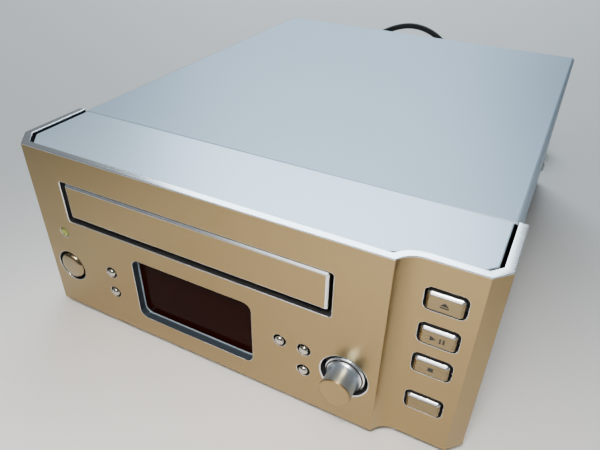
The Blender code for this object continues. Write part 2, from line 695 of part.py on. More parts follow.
def round_button(name, across, drop, radius, reach, travel, sides):
    """A domed cap with a retaining collar and a stem."""
    stem_end = BOARD_DEPTH - SWITCH_HEIGHT - travel - SEAT
    profile = [
        (0, reach),
        *[(radius * across, reach * up) for across, up in DOME_SHARES],
        (radius, -COLLAR_START),
        (radius + COLLAR_RIM, -COLLAR_START),
        (radius + COLLAR_RIM, -COLLAR_START - COLLAR_THICKNESS),
        (STEM_RADIUS, -COLLAR_START - COLLAR_THICKNESS),
        (STEM_RADIUS, -stem_end),
        (0, -stem_end),
    ]
    return turned(name, profile, (across, FACE_Y, TOP_Z - drop), "-Y", CHROME, sides)


def key(name, drop):
    """A rectangular cap with bevelled rim, its collar and its stem."""
    level = TOP_Z - drop
    front = RECESS_Y - KEY_REACH
    collar = RECESS_Y + COLLAR_START
    cap = window(name, (KEY_X, level), KEY_WIDTH, KEY_HEIGHT, KEY_CORNER, front,
                 collar + COLLAR_THICKNESS / 2)
    cap.data.materials[0] = CHAMPAGNE
    rim = window(name + "_collar", (KEY_X, level), KEY_WIDTH + 2 * COLLAR_RIM, KEY_HEIGHT + 2 * COLLAR_RIM,
                 KEY_CORNER + COLLAR_RIM, collar, collar + COLLAR_THICKNESS)
    stem_end = KEY_BOARD_FRONT - SWITCH_HEIGHT - SMALL_TRAVEL - SEAT
    stem = rod(name + "_stem", (KEY_X, level), STEM_RADIUS, collar + COLLAR_THICKNESS / 2, stem_end, "Y",
               sides=12)
    shape = bmesh.new()
    shape.from_mesh(cap.data)
    face_edges = [edge for edge in shape.edges if all(abs(v.co.y - front) < MERGE for v in edge.verts)]
    rim_edges = [edge for edge in face_edges
                 if min(abs(face.normal.y) for face in edge.link_faces) < FLAT_SHARE]
    bmesh.ops.bevel(shape, geom=rim_edges, offset=KEY_BEVEL, segments=2, profile=0.5, affect="EDGES")
    shape.to_mesh(cap.data)
    shape.free()
    return joined(cap, rim, stem)


def controls():
    round_button("power_button", POWER_X, POWER_DROP, POWER_RADIUS, POWER_REACH, POWER_TRAVEL, 24)
    for name, (across, drop) in SMALL_BUTTONS.items():
        round_button(name, across, drop, SMALL_RADIUS, CAP_REACH, SMALL_TRAVEL, 16)
    for name, drop in KEYS.items():
        key(name, drop)
    jog()


JOG_FLARE = 0.0012
JOG_EDGE = 0.0006
JOG_SKIRT_DEPTH = 0.0022
JOG_SKIRT_LIP = 0.0008
JOG_BODY_LENGTH = 0.0018


def jog():
    """A turned knob, waisted in front of its skirt, on a push shaft."""
    level = TOP_Z - JOG_DROP
    bore = SHAFT_RADIUS + BORE_CLEARANCE
    back = -JOG_SKIRT_DEPTH - JOG_BODY_LENGTH
    profile = [
        (0, JOG_REACH),
        (JOG_RADIUS - JOG_EDGE, JOG_REACH),
        (JOG_RADIUS, JOG_REACH - JOG_EDGE),
        (JOG_RADIUS - JOG_EDGE / 2, JOG_REACH / 2),
        (JOG_RADIUS, JOG_FLARE),
        (JOG_RADIUS + JOG_FLARE, -JOG_SKIRT_LIP / 2),
        (JOG_SKIRT_RADIUS - JOG_EDGE, -JOG_SKIRT_LIP),
        (JOG_SKIRT_RADIUS, -JOG_SKIRT_LIP - JOG_EDGE),
        (JOG_SKIRT_RADIUS, back),
        (bore, back),
        (bore, JOG_REACH / 2),
        (0, JOG_REACH / 2),
    ]
    turned("jog_knob", profile, (JOG_X, FACE_Y, level), "-Y", CHROME, 32)
    rod("jog_shaft", (JOG_X, level), SHAFT_RADIUS, FACE_Y - JOG_REACH / 2 + SEAT,
        ENCODER_FLOOR - JOG_TRAVEL - SEAT, "Y", ZINC)


# Sheet metal case

PAN_FRONT_GAP = 0.0005
VENT_WIDTH = 0.003
VENT_LENGTH = 0.03
VENT_MARGIN = 0.007
VENT_COUNT = 6
FOOT_RADIUS = 0.011
FOOT_SIDE_INSET = 0.021
FOOT_FRONT_DEPTH = 0.026
FOOT_REAR_INSET = 0.024
FOOT_EDGE = 0.0008
STANDOFF_RADIUS = 0.003
MAIN_BOARD_Z = 0.012
PAN_HALF = COVER_HALF - COVER_SHEET - SHEET_CLEARANCE
PAN_TOP = FOOT_HEIGHT + PAN_SHEET
COVER_FRONT = FACE_Y + RETURN_DEPTH + SHEET_CLEARANCE
PAN_REAR = REAR_Y - REAR_SHEET - SEAT - SHEET_CLEARANCE
REAR_FRONT = REAR_Y - REAR_SHEET - SHEET_CLEARANCE

BRACKET_CLEARANCE = 0.0055
MAIN_LEFT_GAP = 0.0151
MAIN_RIGHT_GAP = 0.0039
MAIN_FRONT_DEPTH = 0.062
MAIN_REAR_INSET = 0.009
MAIN_THICKNESS = 0.0016
TRANSFORMER_INSET = 0.0064
TRANSFORMER_GAP = 0.003
TRANSFORMER_REAR_INSET = 0.049
TRANSFORMER_LENGTH = 0.05
TRANSFORMER_HEIGHT = 0.042
TUNER_INSET = 0.0034
TUNER_GAP = 0.018

BRACKET_SHIFT = HATCH_HALF + BRACKET_CLEARANCE
MAIN_LEFT = TRAY_X - BRACKET_SHIFT + MAIN_LEFT_GAP
MAIN_RIGHT = TRAY_X + BRACKET_SHIFT - MAIN_RIGHT_GAP
MAIN_REAR_DEPTH = CASE_DEPTH - MAIN_REAR_INSET
TRANSFORMER_WIDTH = PAN_HALF - TRANSFORMER_INSET + MAIN_LEFT - TRANSFORMER_GAP
TRANSFORMER_X = TRANSFORMER_INSET - PAN_HALF + TRANSFORMER_WIDTH / 2
TRANSFORMER_Y = REAR_Y - TRANSFORMER_REAR_INSET
TUNER_LEFT = MAIN_RIGHT + TUNER_GAP
TUNER_RIGHT = PAN_HALF - TUNER_INSET
VENT_PITCH = (TRANSFORMER_WIDTH - VENT_MARGIN) / (VENT_COUNT - 1)


def bent_cover():
    """Outer line of the cover's section, with round bends, and the inner line back."""
    outer = [(-COVER_HALF, FOOT_HEIGHT)]
    for side in (-1, 1):
        centre = (side * (COVER_HALF - COVER_BEND), CASE_TOP - COVER_BEND)
        for k in range(BEND_STEPS + 1):
            turn = math.radians(90) * k / BEND_STEPS
            across, up = (math.cos(turn), math.sin(turn)) if side < 0 else (math.sin(turn), math.cos(turn))
            outer.append((centre[0] + side * COVER_BEND * across, centre[1] + COVER_BEND * up))
    outer.append((COVER_HALF, FOOT_HEIGHT))
    return outer + inset(outer, [-COVER_SHEET] * (len(outer) - 1))[::-1]


def case():
    prism("top_cover", [bent_cover()], "XZ", COVER_FRONT, REAR_Y, COVER_PAINT)
    high = PAN_TOP + PAN_FLANGE
    section = [(-PAN_HALF, high), (-PAN_HALF, FOOT_HEIGHT), (PAN_HALF, FOOT_HEIGHT), (PAN_HALF, high)]
    section += inset(section, [PAN_SHEET] * 3)[::-1]
    front = RECESS_Y + RIGHT_CHAMFER_DEPTH + PANEL_WALL / 2 + PAN_FRONT_GAP
    pan = prism("chassis_pan", [section], "XZ", front, PAN_REAR, ZINC)
    notch = block("pan_notch", (-HALF_WIDTH, front - OVERRUN, PAN_TOP),
                  (HALF_WIDTH, COVER_FRONT + SHEET_CLEARANCE, high + OVERRUN))
    vents = []
    for k in range(VENT_COUNT):
        across = TRANSFORMER_X + (k - (VENT_COUNT - 1) / 2) * VENT_PITCH
        vents.append(block(f"vent_{k}", (across - VENT_WIDTH / 2, TRANSFORMER_Y - VENT_LENGTH / 2,
                                         FOOT_HEIGHT - OVERRUN),
                           (across + VENT_WIDTH / 2, TRANSFORMER_Y + VENT_LENGTH / 2, PAN_TOP + SEAT)))
    standoffs = []
    for across in (MAIN_LEFT + BOSS_INSET, MAIN_RIGHT - BOSS_INSET):
        for depth in (MAIN_FRONT_DEPTH + BOSS_INSET, MAIN_REAR_DEPTH - BOSS_INSET):
            standoffs.append(rod(f"standoff_{len(standoffs)}", (across, FACE_Y + depth), STANDOFF_RADIUS,
                                 PAN_TOP - PAN_SHEET / 2, MAIN_BOARD_Z - SEAT, sides=12))
    cut(pan, notch, *vents)
    joined(pan, *standoffs)
    profile = [(0, FOOT_HEIGHT - SEAT), (FOOT_RADIUS, FOOT_HEIGHT - SEAT), (FOOT_RADIUS - FOOT_EDGE, 0),
               (0, 0)]
    front_y = FACE_Y + FOOT_FRONT_DEPTH
    rear_y = REAR_Y - FOOT_REAR_INSET
    for end, y in (("front", front_y), ("rear", rear_y)):
        for side, x in (("left", FOOT_SIDE_INSET - HALF_WIDTH), ("right", HALF_WIDTH - FOOT_SIDE_INSET)):
            turned(f"foot_{end}_{side}", profile, (x, y, 0), "Z", RUBBER, 24)


# Rear panel with its sockets and the mains lead's grommet

GROMMET_SHIFT = 0.004
GROMMET_Z = 0.076
GROMMET_RADIUS = 0.0046
GROMMET_FLANGE = 0.0062
GROMMET_LENGTH = 0.022
GROMMET_TIP = 0.0032
GROMMET_LIP = 0.0022
CORD_DIAMETER = 0.0044
JACK_RADIUS = 0.0042
JACK_BORE = 0.0033
JACK_REACH = 0.008
JACK_BORE_DEPTH = 0.0075
JACK_PITCH = 0.014
JACK_INSET = 0.022
JACK_Z = 0.024
JACK_BODY_DEPTH = 0.012
ANTENNA_INSET = 0.022
ANTENNA_Z = 0.052
ANTENNA_WIDTH = 0.034
ANTENNA_HEIGHT = 0.016
ANTENNA_REACH = 0.0035
COAX_RADIUS = 0.0046
COAX_BORE = 0.0012
COAX_SHIFT = 0.0095
TERMINAL_CORNER = 0.001
TUNER_DEPTH = 0.05
TUNER_TOP = 0.062
TUNER_WALL = 0.001
CORE_LENGTH = 0.022
CORE_MARGIN = 0.004
TRANSFORMER_FOOT = 0.0015
TRANSFORMER_TAB = 0.009

GROMMET_X = MAIN_LEFT + GROMMET_SHIFT
JACK_X = MAIN_RIGHT - JACK_INSET
ANTENNA_X = TUNER_RIGHT - ANTENNA_INSET
REAR_TOP = CASE_TOP - COVER_SHEET - SHEET_CLEARANCE


def rear_side():
    outline = rectangle(-PAN_HALF, PAN_HALF, PAN_TOP + SEAT, REAR_TOP)
    jacks = [(JACK_X + side * JACK_PITCH / 2, JACK_Z + level * JACK_PITCH / 2)
             for side in (-1, 1) for level in (-1, 1)]
    holes = [circle(point, JACK_RADIUS + SEAT) for point in jacks]
    holes.append(rectangle(ANTENNA_X - ANTENNA_WIDTH / 2 - SEAT, ANTENNA_X + ANTENNA_WIDTH / 2 + SEAT,
                           ANTENNA_Z - ANTENNA_HEIGHT / 2 - SEAT, ANTENNA_Z + ANTENNA_HEIGHT / 2 + SEAT))
    holes.append(circle((GROMMET_X, GROMMET_Z), GROMMET_RADIUS + SEAT))
    for k in range(VENT_COUNT):
        across = TRANSFORMER_X + (k - (VENT_COUNT - 1) / 2) * VENT_PITCH
        holes.append(rectangle(across - VENT_WIDTH / 2, across + VENT_WIDTH / 2,
                               TRANSFORMER_HEIGHT - VENT_LENGTH / 2, TRANSFORMER_HEIGHT + VENT_LENGTH / 2))
    prism("rear_panel", [outline, *holes], "XZ", REAR_FRONT, REAR_FRONT + REAR_SHEET, ZINC)

    inner = -REAR_SHEET - GROMMET_LIP
    neck = CORD_DIAMETER / 2 + SEAT
    grommet = [
        (neck, GROMMET_LENGTH),
        (GROMMET_TIP, GROMMET_LENGTH),
        (GROMMET_RADIUS, GROMMET_LIP),
        (GROMMET_FLANGE, GROMMET_LIP),
        (GROMMET_FLANGE, SEAT),
        (GROMMET_RADIUS, SEAT),
        (GROMMET_RADIUS, inner),
        (neck, inner),
    ]
    turned("cord_grommet", grommet, (GROMMET_X, REAR_FRONT + REAR_SHEET, GROMMET_Z), "Y", RUBBER, 20,
           ring=True)

    body = block("line_jacks", (JACK_X - JACK_PITCH, REAR_FRONT - SEAT - JACK_BODY_DEPTH,
                                MAIN_BOARD_Z + MAIN_THICKNESS + SEAT),
                 (JACK_X + JACK_PITCH, REAR_FRONT - SEAT, JACK_Z + JACK_PITCH))
    barrels = [rod(f"jack_{k}", point, JACK_RADIUS, REAR_FRONT - SEAT - JOINT_LAP, REAR_Y + JACK_REACH, "Y")
               for k, point in enumerate(jacks)]
    bores = [rod(f"jack_bore_{k}", point, JACK_BORE, REAR_Y + JACK_REACH - JACK_BORE_DEPTH,
                 REAR_Y + JACK_REACH + OVERRUN, "Y") for k, point in enumerate(jacks)]
    joined(body, *barrels)
    cut(body, *bores)

    terminals = window("antenna_terminals", (ANTENNA_X, ANTENNA_Z), ANTENNA_WIDTH, ANTENNA_HEIGHT,
                       TERMINAL_CORNER, REAR_FRONT - SEAT, REAR_Y + ANTENNA_REACH, 1)
    coax = rod("coax", (ANTENNA_X - COAX_SHIFT, ANTENNA_Z), COAX_RADIUS, REAR_Y, REAR_Y + REAR_REACH, "Y")
    bore = rod("coax_bore", (ANTENNA_X - COAX_SHIFT, ANTENNA_Z), COAX_BORE,
               REAR_Y + ANTENNA_REACH, REAR_Y + REAR_REACH + OVERRUN, "Y", sides=10)
    joined(terminals, coax)
    cut(terminals, bore)


CAPACITOR_SHARES = ((0.62, 0.62), (0.74, 0.62), (0.62, 0.72), (0.74, 0.5))
CHIP_SHARES = ((0.25, 0.2), (0.6, 0.2), (0.35, 0.55))
CAPACITOR_RADIUS = 0.0055
CAPACITOR_HEIGHT = 0.018
CHIP_WIDTH = 0.016
CHIP_HEIGHT = 0.0022
SINK_INSET = 0.006
SINK_FROM_REAR = 0.047
SINK_WIDTH = 0.036
SINK_REACH = 0.014
SINK_WEB = 0.003
SINK_HEIGHT = 0.034
FIN = 0.0015
FIN_COUNT = 7
CABLE_WIDTH = 0.022
CABLE_THICKNESS = 0.0005
CABLE_SHIFT = -0.0052
CABLE_FOLD = 0.012
CABLE_STEPS = 6
CABLE_X = DISPLAY_X + CABLE_SHIFT


def on_main_board(across_share, depth_share):
    """A spot on the main board, by its shares of the board's width and length."""
    return (MAIN_LEFT + across_share * (MAIN_RIGHT - MAIN_LEFT),
            FACE_Y + MAIN_FRONT_DEPTH + depth_share * (MAIN_REAR_DEPTH - MAIN_FRONT_DEPTH))


def electronics():
    """Main board with its components, tuner can, heat sink, transformer and the flat cable."""
    top = MAIN_BOARD_Z + MAIN_THICKNESS
    main = block("main_board", (MAIN_LEFT, FACE_Y + MAIN_FRONT_DEPTH, MAIN_BOARD_Z),
                 (MAIN_RIGHT, FACE_Y + MAIN_REAR_DEPTH, top), BOARD)
    parts = []
    for k, shares in enumerate(CAPACITOR_SHARES):
        parts.append(rod(f"capacitor_{k}", on_main_board(*shares), CAPACITOR_RADIUS, top - JOINT_LAP,
                         top + CAPACITOR_HEIGHT, sides=12))
    for k, shares in enumerate(CHIP_SHARES):
        x, y = on_main_board(*shares)
        parts.append(block(f"chip_{k}", (x - CHIP_WIDTH / 2, y - CHIP_WIDTH / 2, top - JOINT_LAP),
                           (x + CHIP_WIDTH / 2, y + CHIP_WIDTH / 2, top + CHIP_HEIGHT)))
    joined(main, *parts)

    left = MAIN_LEFT + SINK_INSET
    right = left + SINK_WIDTH
    y = FACE_Y + MAIN_REAR_DEPTH - SINK_FROM_REAR
    pitch = (SINK_WIDTH - FIN) / (FIN_COUNT - 1)
    comb = [(left, y), (right, y)]
    for k in range(FIN_COUNT - 1, -1, -1):
        start = left + k * pitch
        comb += [(start + FIN, y + SINK_REACH), (start, y + SINK_REACH)]
        if k:
            comb += [(start, y + SINK_WEB), (start - pitch + FIN, y + SINK_WEB)]
    prism("heat_sink", [cleaned(comb)], "XY", top + SEAT, top + SINK_HEIGHT, IRON)

    can_front, can_rear = REAR_FRONT - SEAT - TUNER_DEPTH, REAR_FRONT - SEAT - SEAT
    can = block("tuner_can", (TUNER_LEFT, can_front, PAN_TOP + SEAT), (TUNER_RIGHT, can_rear, TUNER_TOP),
                ZINC)
    hollow = block("tuner_hollow", (TUNER_LEFT + TUNER_WALL, can_front + TUNER_WALL, PAN_TOP - OVERRUN),
                   (TUNER_RIGHT - TUNER_WALL, can_rear - TUNER_WALL, TUNER_TOP - TUNER_WALL))
    cut(can, hollow)

    x, y = TRANSFORMER_X, TRANSFORMER_Y
    base = PAN_TOP + SEAT
    half, reach = TRANSFORMER_WIDTH / 2, TRANSFORMER_LENGTH / 2
    tabs = block("power_transformer", (x - half, y - reach, base),
                 (x + half, y + reach, base + TRANSFORMER_FOOT), IRON)
    core = block("core", (x - half, y - CORE_LENGTH / 2, base + TRANSFORMER_FOOT / 2),
                 (x + half, y + CORE_LENGTH / 2, base + TRANSFORMER_HEIGHT))
    winding = block("winding", (x - half + CORE_MARGIN, y - reach + TRANSFORMER_TAB,
                                base + TRANSFORMER_FOOT + CORE_MARGIN),
                    (x + half - CORE_MARGIN, y + reach - TRANSFORMER_TAB,
                     base + TRANSFORMER_HEIGHT - CORE_MARGIN))
    joined(tabs, core, winding)
    flat_cable()


def flat_cable():
    """A flat cable that drops behind the front board and lies on the front of the main board."""
    start = Vector((BOARD_FRONT + BOARD_THICKNESS + SEAT, BOARD_BOTTOM + BOSS_INSET))
    end = Vector((FACE_Y + MAIN_FRONT_DEPTH + BOSS_INSET, MAIN_BOARD_Z + MAIN_THICKNESS + SEAT))
    rise = Vector((start.x + CABLE_THICKNESS, start.y + BOSS_INSET))
    bend = Vector((end.x - CABLE_FOLD, end.y))
    points = []
    for k in range(CABLE_STEPS + 1):
        s = k / CABLE_STEPS
        a, b, c = start.lerp(rise, s), rise.lerp(bend, s), bend.lerp(end, s)
        points.append(tuple(a.lerp(b, s).lerp(b.lerp(c, s), s)))
    outline = points + inset(points, [CABLE_THICKNESS] * CABLE_STEPS)[::-1]
    prism("flat_cable", [outline], "YZ", CABLE_X - CABLE_WIDTH / 2, CABLE_X + CABLE_WIDTH / 2, WHITE)


# Disc tray and its door

TRAY_WIDTH = 0.127
TRAY_TOP = 0.075
WELL_CLEARANCE = 0.0007
SMALL_DISC_RADIUS = 0.0405
SMALL_WELL = 0.001
SLOT_RADIUS = 0.0185
TRAY_FRONT_WALL = 0.003
TRAY_FRONT_MARGIN = 0.001
TRAY_CORNER = 0.006
RACK_BACK = 0.0045
RACK_SHIFT = 0.0498
RACK_HEIGHT = 0.0055
RACK_END = 0.004

DISC_Y = FACE_Y + DISC_FRONT_DEPTH + DISC_DIAMETER / 2
TRAY_FRONT = FACE_Y + DOOR_RECESS + DOOR_THICKNESS + SEAT
TRAY_REAR = TRAY_FRONT + TRAY_LENGTH
TRAY_LOW = TRAY_TOP - TRAY_THICKNESS
GEAR_Y = FACE_Y + TRAY_GEAR_DEPTH
RACK_TEETH = 16
RACK_X = TRAY_X + RACK_SHIFT
GEAR_X = RACK_X - RACK_MODULE * RACK_TEETH / 2


def disc_tray():
    door_top = TOP_Z - DOOR_DROP
    front = FACE_Y + DOOR_RECESS
    door = block("tray_door", (TRAY_X - DOOR_WIDTH / 2, front, door_top - DOOR_HEIGHT),
                 (TRAY_X + DOOR_WIDTH / 2, front + DOOR_THICKNESS, door_top), CHAMPAGNE)
    edges = door.modifiers.new("edges", "BEVEL")
    edges.width = DOOR_BEVEL
    edges.segments = 1
    half = TRAY_WIDTH / 2
    outline = [
        (TRAY_X - half, TRAY_FRONT),
        (TRAY_X + half, TRAY_FRONT),
        (TRAY_X + half, TRAY_REAR - TRAY_CORNER),
        (TRAY_X + half - TRAY_CORNER, TRAY_REAR),
        (TRAY_X - half + TRAY_CORNER, TRAY_REAR),
        (TRAY_X - half, TRAY_REAR - TRAY_CORNER),
    ]
    tray = prism("disc_tray", [outline], "XY", TRAY_LOW, TRAY_TOP, BLACK)
    wall = block("tray_wall", (TRAY_X - half, TRAY_FRONT, door_top - DOOR_HEIGHT + TRAY_FRONT_MARGIN),
                 (TRAY_X + half, TRAY_FRONT + TRAY_FRONT_WALL, door_top - TRAY_FRONT_MARGIN))
    rack = rack_outline(RACK_X, RACK_X + RACK_BACK, GEAR_Y, TRAY_FRONT + TRAY_FRONT_WALL - JOINT_LAP,
                        GEAR_Y + TRAY_TRAVEL + RACK_END, RACK_MODULE)
    rack = prism("rack", [rack], "XY", TRAY_LOW - RACK_HEIGHT, TRAY_LOW + JOINT_LAP)
    floor = TRAY_LOW + TRAY_FLOOR
    radius = DISC_DIAMETER / 2 + WELL_CLEARANCE
    well = rod("well", (TRAY_X, DISC_Y), radius, floor, TRAY_TOP + OVERRUN, sides=56)
    small = rod("small_well", (TRAY_X, DISC_Y), SMALL_DISC_RADIUS, floor - SMALL_WELL, floor + OVERRUN,
                sides=40)
    arc = [(TRAY_X + SLOT_RADIUS * math.cos(a), DISC_Y - SLOT_RADIUS * math.sin(a))
           for a in (math.pi * k / 12 for k in range(13))]
    slot = [(TRAY_X + SLOT_RADIUS, TRAY_REAR + OVERRUN), *arc, (TRAY_X - SLOT_RADIUS, TRAY_REAR + OVERRUN)]
    slot = prism("slot", [slot], "XY", TRAY_LOW - OVERRUN, TRAY_TOP + OVERRUN)
    joined(tray, wall, rack)
    cut(tray, well, small, slot)


# Loader frame, its gears, belt and motor

WALL_GAP = 0.0008
LOADER_WALL = 0.0025
LOADER_BASE_Z = 0.05
LOADER_BASE = 0.0025
LOADER_TOP = 0.0774
RAIL_REACH = 0.0028
RAIL_HEIGHT = 0.003
ARM_LOW = 0.0585
POST_RADIUS = 0.0014
POST_SIDES = 12
TRAIN_TEETH = 28
PINION_TEETH = 12
TRAIN_LOW = 0.054
TRAIN_HEIGHT = 0.004
RACK_GEAR_LOW = 0.0628
RACK_GEAR_HEIGHT = 0.004
HUB_RADIUS = 0.0027
WHEEL_RADIUS = 0.0122
WHEEL_LOW = 0.0588
WHEEL_HEIGHT = 0.0028
GROOVE_DEPTH = 0.0014
PULLEY_RADIUS = 0.0038
BELT = 0.0011
BELT_GAP = 0.0003
PULLEY_DISTANCE = 0.036
MOTOR_HEIGHT = 0.0123
MOTOR_SHAFT = 0.001
MOTOR_SIDES = 24

PINION_X = GEAR_X - TRAIN_MODULE * (TRAIN_TEETH + PINION_TEETH) / 2
PULLEY_X = PINION_X - PULLEY_DISTANCE
LOADER_BASE_TOP = LOADER_BASE_Z + LOADER_BASE
HALF_INNER = TRAY_WIDTH / 2 + WALL_GAP
HALF_OUTER = HALF_INNER + LOADER_WALL


def loader_frame():
    """A channel with rails in its walls, a hatch for the traverse, arms towards the bezel, and posts."""
    front, rear = FACE_Y + LOADER_FRONT_DEPTH, FACE_Y + LOADER_REAR_DEPTH
    rail = HALF_INNER - RAIL_REACH
    rail_top = TRAY_LOW - SEAT
    half = [(HALF_OUTER, LOADER_BASE_Z), (HALF_OUTER, LOADER_TOP), (HALF_INNER, LOADER_TOP),
            (HALF_INNER, rail_top), (rail, rail_top), (rail, rail_top - RAIL_HEIGHT),
            (HALF_INNER, rail_top - RAIL_HEIGHT), (HALF_INNER, LOADER_BASE_TOP)]
    section = half + [(-across, level) for across, level in reversed(half)]
    frame = prism("loader_frame", [shifted(section, TRAY_X, 0)], "XZ", front, rear, BLACK)
    parts = []
    for side in (-1, 1):
        ends = sorted((TRAY_X + side * (HATCH_HALF - OVERRUN), TRAY_X + side * (HATCH_HALF + EAR)))
        ear = rectangle(PIVOT_Y - EAR_HALF, PIVOT_Y + EAR_HALF, LOADER_BASE_TOP - LOADER_BASE / 2,
                        PIVOT_Z + EAR_HALF)
        hole = circle((PIVOT_Y, PIVOT_Z), PIN_RADIUS + HOLE_CLEARANCE, 12)
        parts.append(prism(f"ear_{side}", [ear, hole], "YZ", *ends))
    for name, across, top in (("gear", GEAR_X, RACK_GEAR_LOW + RACK_GEAR_HEIGHT),
                              ("wheel", PINION_X, WHEEL_LOW + WHEEL_HEIGHT)):
        parts.append(rod(name + "_post", (across, GEAR_Y), POST_RADIUS,
                         LOADER_BASE_TOP - LOADER_BASE / 2, top, sides=POST_SIDES))
    joined(frame, *parts)
    cut(frame,
        block("hatch", (TRAY_X - HATCH_HALF, FACE_Y + HATCH_FRONT_DEPTH, LOADER_BASE_Z - OVERRUN),
              (TRAY_X + HATCH_HALF, FACE_Y + HATCH_REAR_DEPTH, LOADER_TOP)),
        block("arm_cut", (TRAY_X - HALF_OUTER - OVERRUN, front - OVERRUN, LOADER_BASE_Z - OVERRUN),
              (TRAY_X + HALF_OUTER + OVERRUN, FACE_Y + LOADER_BASE_DEPTH, ARM_LOW)),
        rod("motor_hole", (PULLEY_X, GEAR_Y), MOTOR_SHAFT + HOLE_CLEARANCE, LOADER_BASE_Z - OVERRUN,
            LOADER_BASE_TOP + OVERRUN))


def gear_pair():
    """Tray gear on the rack, belt wheel with its pinion, belt, motor pulley and motor."""
    low, high = TRAIN_LOW, TRAIN_LOW + TRAIN_HEIGHT
    teeth = gear_outline((GEAR_X, GEAR_Y), TRAIN_TEETH, TRAIN_MODULE)
    tray_gear = prism("tray_gear", [teeth], "XY", low, high, WHITE)
    upper = prism("upper_gear", [gear_outline((GEAR_X, GEAR_Y), RACK_TEETH, RACK_MODULE)], "XY",
                  RACK_GEAR_LOW, RACK_GEAR_LOW + RACK_GEAR_HEIGHT)
    hub = rod("gear_hub", (GEAR_X, GEAR_Y), HUB_RADIUS, low + TRAIN_HEIGHT / 2,
              RACK_GEAR_LOW + RACK_GEAR_HEIGHT / 2)
    bore = rod("gear_bore", (GEAR_X, GEAR_Y), POST_RADIUS + SEAT, low - OVERRUN, TRAY_LOW + OVERRUN,
               sides=POST_SIDES)
    joined(tray_gear, hub, upper)
    cut(tray_gear, bore)

    phase = math.pi / PINION_TEETH
    wheel_top = WHEEL_LOW + WHEEL_HEIGHT
    teeth = gear_outline((PINION_X, GEAR_Y), PINION_TEETH, TRAIN_MODULE, phase)
    wheel = prism("belt_wheel", [teeth], "XY", low, wheel_top - WHEEL_HEIGHT / 2, WHITE)
    disc = grooved("wheel_disc", WHEEL_RADIUS, (PINION_X, GEAR_Y, WHEEL_LOW), 32)
    bore = rod("wheel_bore", (PINION_X, GEAR_Y), POST_RADIUS + SEAT, low - OVERRUN, wheel_top + OVERRUN,
               sides=POST_SIDES)
    joined(wheel, disc)
    cut(wheel, bore)

    pulley = grooved("motor_pulley", PULLEY_RADIUS, (PULLEY_X, GEAR_Y, WHEEL_LOW), 16)
    cut(pulley, rod("pulley_bore", (PULLEY_X, GEAR_Y), MOTOR_SHAFT + BELT_GAP, WHEEL_LOW - OVERRUN,
                    wheel_top + OVERRUN, sides=POST_SIDES))
    middle = wheel_top - WHEEL_HEIGHT / 2
    inner = belt_outline(0)
    outer = belt_outline(BELT)
    prism("drive_belt", [outer, inner], "XY", middle - BELT / 2, middle + BELT / 2, RUBBER)

    motor = rod("loading_motor", (PULLEY_X, GEAR_Y), MOTOR_RADIUS, LOADER_BASE_Z - SEAT - MOTOR_HEIGHT,
                LOADER_BASE_Z - SEAT, sides=MOTOR_SIDES, surface=ZINC)
    joined(motor, rod("motor_shaft", (PULLEY_X, GEAR_Y), MOTOR_SHAFT, LOADER_BASE_Z - MOTOR_HEIGHT / 2,
                      wheel_top, sides=POST_SIDES))


def grooved(name, radius, base, sides):
    """A belt wheel without its bore."""
    lip = (WHEEL_HEIGHT - BELT) / 2 - SEAT
    profile = [(0, WHEEL_HEIGHT), (radius, WHEEL_HEIGHT), (radius, WHEEL_HEIGHT - lip),
               (radius - GROOVE_DEPTH, WHEEL_HEIGHT - lip), (radius - GROOVE_DEPTH, lip), (radius, lip),
               (radius, 0), (0, 0)]
    return turned(name, profile, base, "Z", WHITE, sides)


def belt_outline(extra, steps=14):
    """The belt's line round both grooves, extra outside its inner face."""
    big = WHEEL_RADIUS - GROOVE_DEPTH + BELT_GAP + extra
    small = PULLEY_RADIUS - GROOVE_DEPTH + BELT_GAP + extra
    lean = math.acos((big - small) / PULLEY_DISTANCE)
    points = []
    for centre, radius, start, end in (((PINION_X, GEAR_Y), big, lean - math.pi, math.pi - lean),
                                       ((PULLEY_X, GEAR_Y), small, math.pi - lean, math.pi + lean)):
        for k in range(steps + 1):
            turn = start + (end - start) * k / steps
            points.append((centre[0] + radius * math.cos(turn), centre[1] + radius * math.sin(turn)))
    return points


# Traverse with turntable and pickup

PIVOT_INSET = 0.004
PIVOT_Z = 0.0548
PIN_RADIUS = 0.0017
EAR = 0.004
TRAVERSE_Z = 0.0535
TRAVERSE_PLATE = 0.0025
SLED_HATCH_HALF = 0.018
SLED_HATCH_ROOM = 0.001
SLED_HATCH_LENGTH = 0.053
TRAVERSE_SWING = math.radians(6)
LIFT_PIN_RADIUS = 0.0015
SPINDLE_SHAFT = 0.001
SPINDLE_CAN = 0.0125
SPINDLE_HEIGHT = 0.0078
SPINDLE_BOSS = 0.004
PLATTER_TOP = 0.0725
PLATTER_THICKNESS = 0.0028
CENTRING_RADIUS = 0.0073
CENTRING_HEIGHT = 0.0028
PLATTER_BOSS = 0.004
PLATTER_BOSS_LOW = 0.0605
ROD_RADIUS = 0.0015
ROD_SHIFT = 0.0235
ROD_Z = 0.0598
BLOCK_HALF = 0.0026
SLED_HALF = 0.0195
SLED_LOW = 0.0566
SLED_TOP = 0.0655
SLEEVE_HALF = 0.0031
LENS_RADIUS = 0.0042
LENS_TOP = 0.0712
LENS_AHEAD = 0.007
SLED_GEAR_BEHIND = 0.019
SLED_RACK_LOW = 0.0605
SLED_RACK_HEIGHT = 0.003
SLED_MOTOR_HEIGHT = 0.01
CLAMPER_BOTTOM = 0.0758
CLAMPER_RADIUS = 0.0125
CLAMPER_FLANGE = 0.0165
CLAMPER_FLANGE_HEIGHT = 0.0015
BRIDGE_FRONT = 0.019
BRIDGE_SHEET = 0.0012
PIN_THIN_SHARE = 0.75
CAM_TRAVEL = 0.02
CAM_LENGTH = 0.05
CAM_HEIGHT = 0.0222
CAM_TOP_MARGIN = 0.0036
CAM_SLOT_CLEARANCE = 0.0004
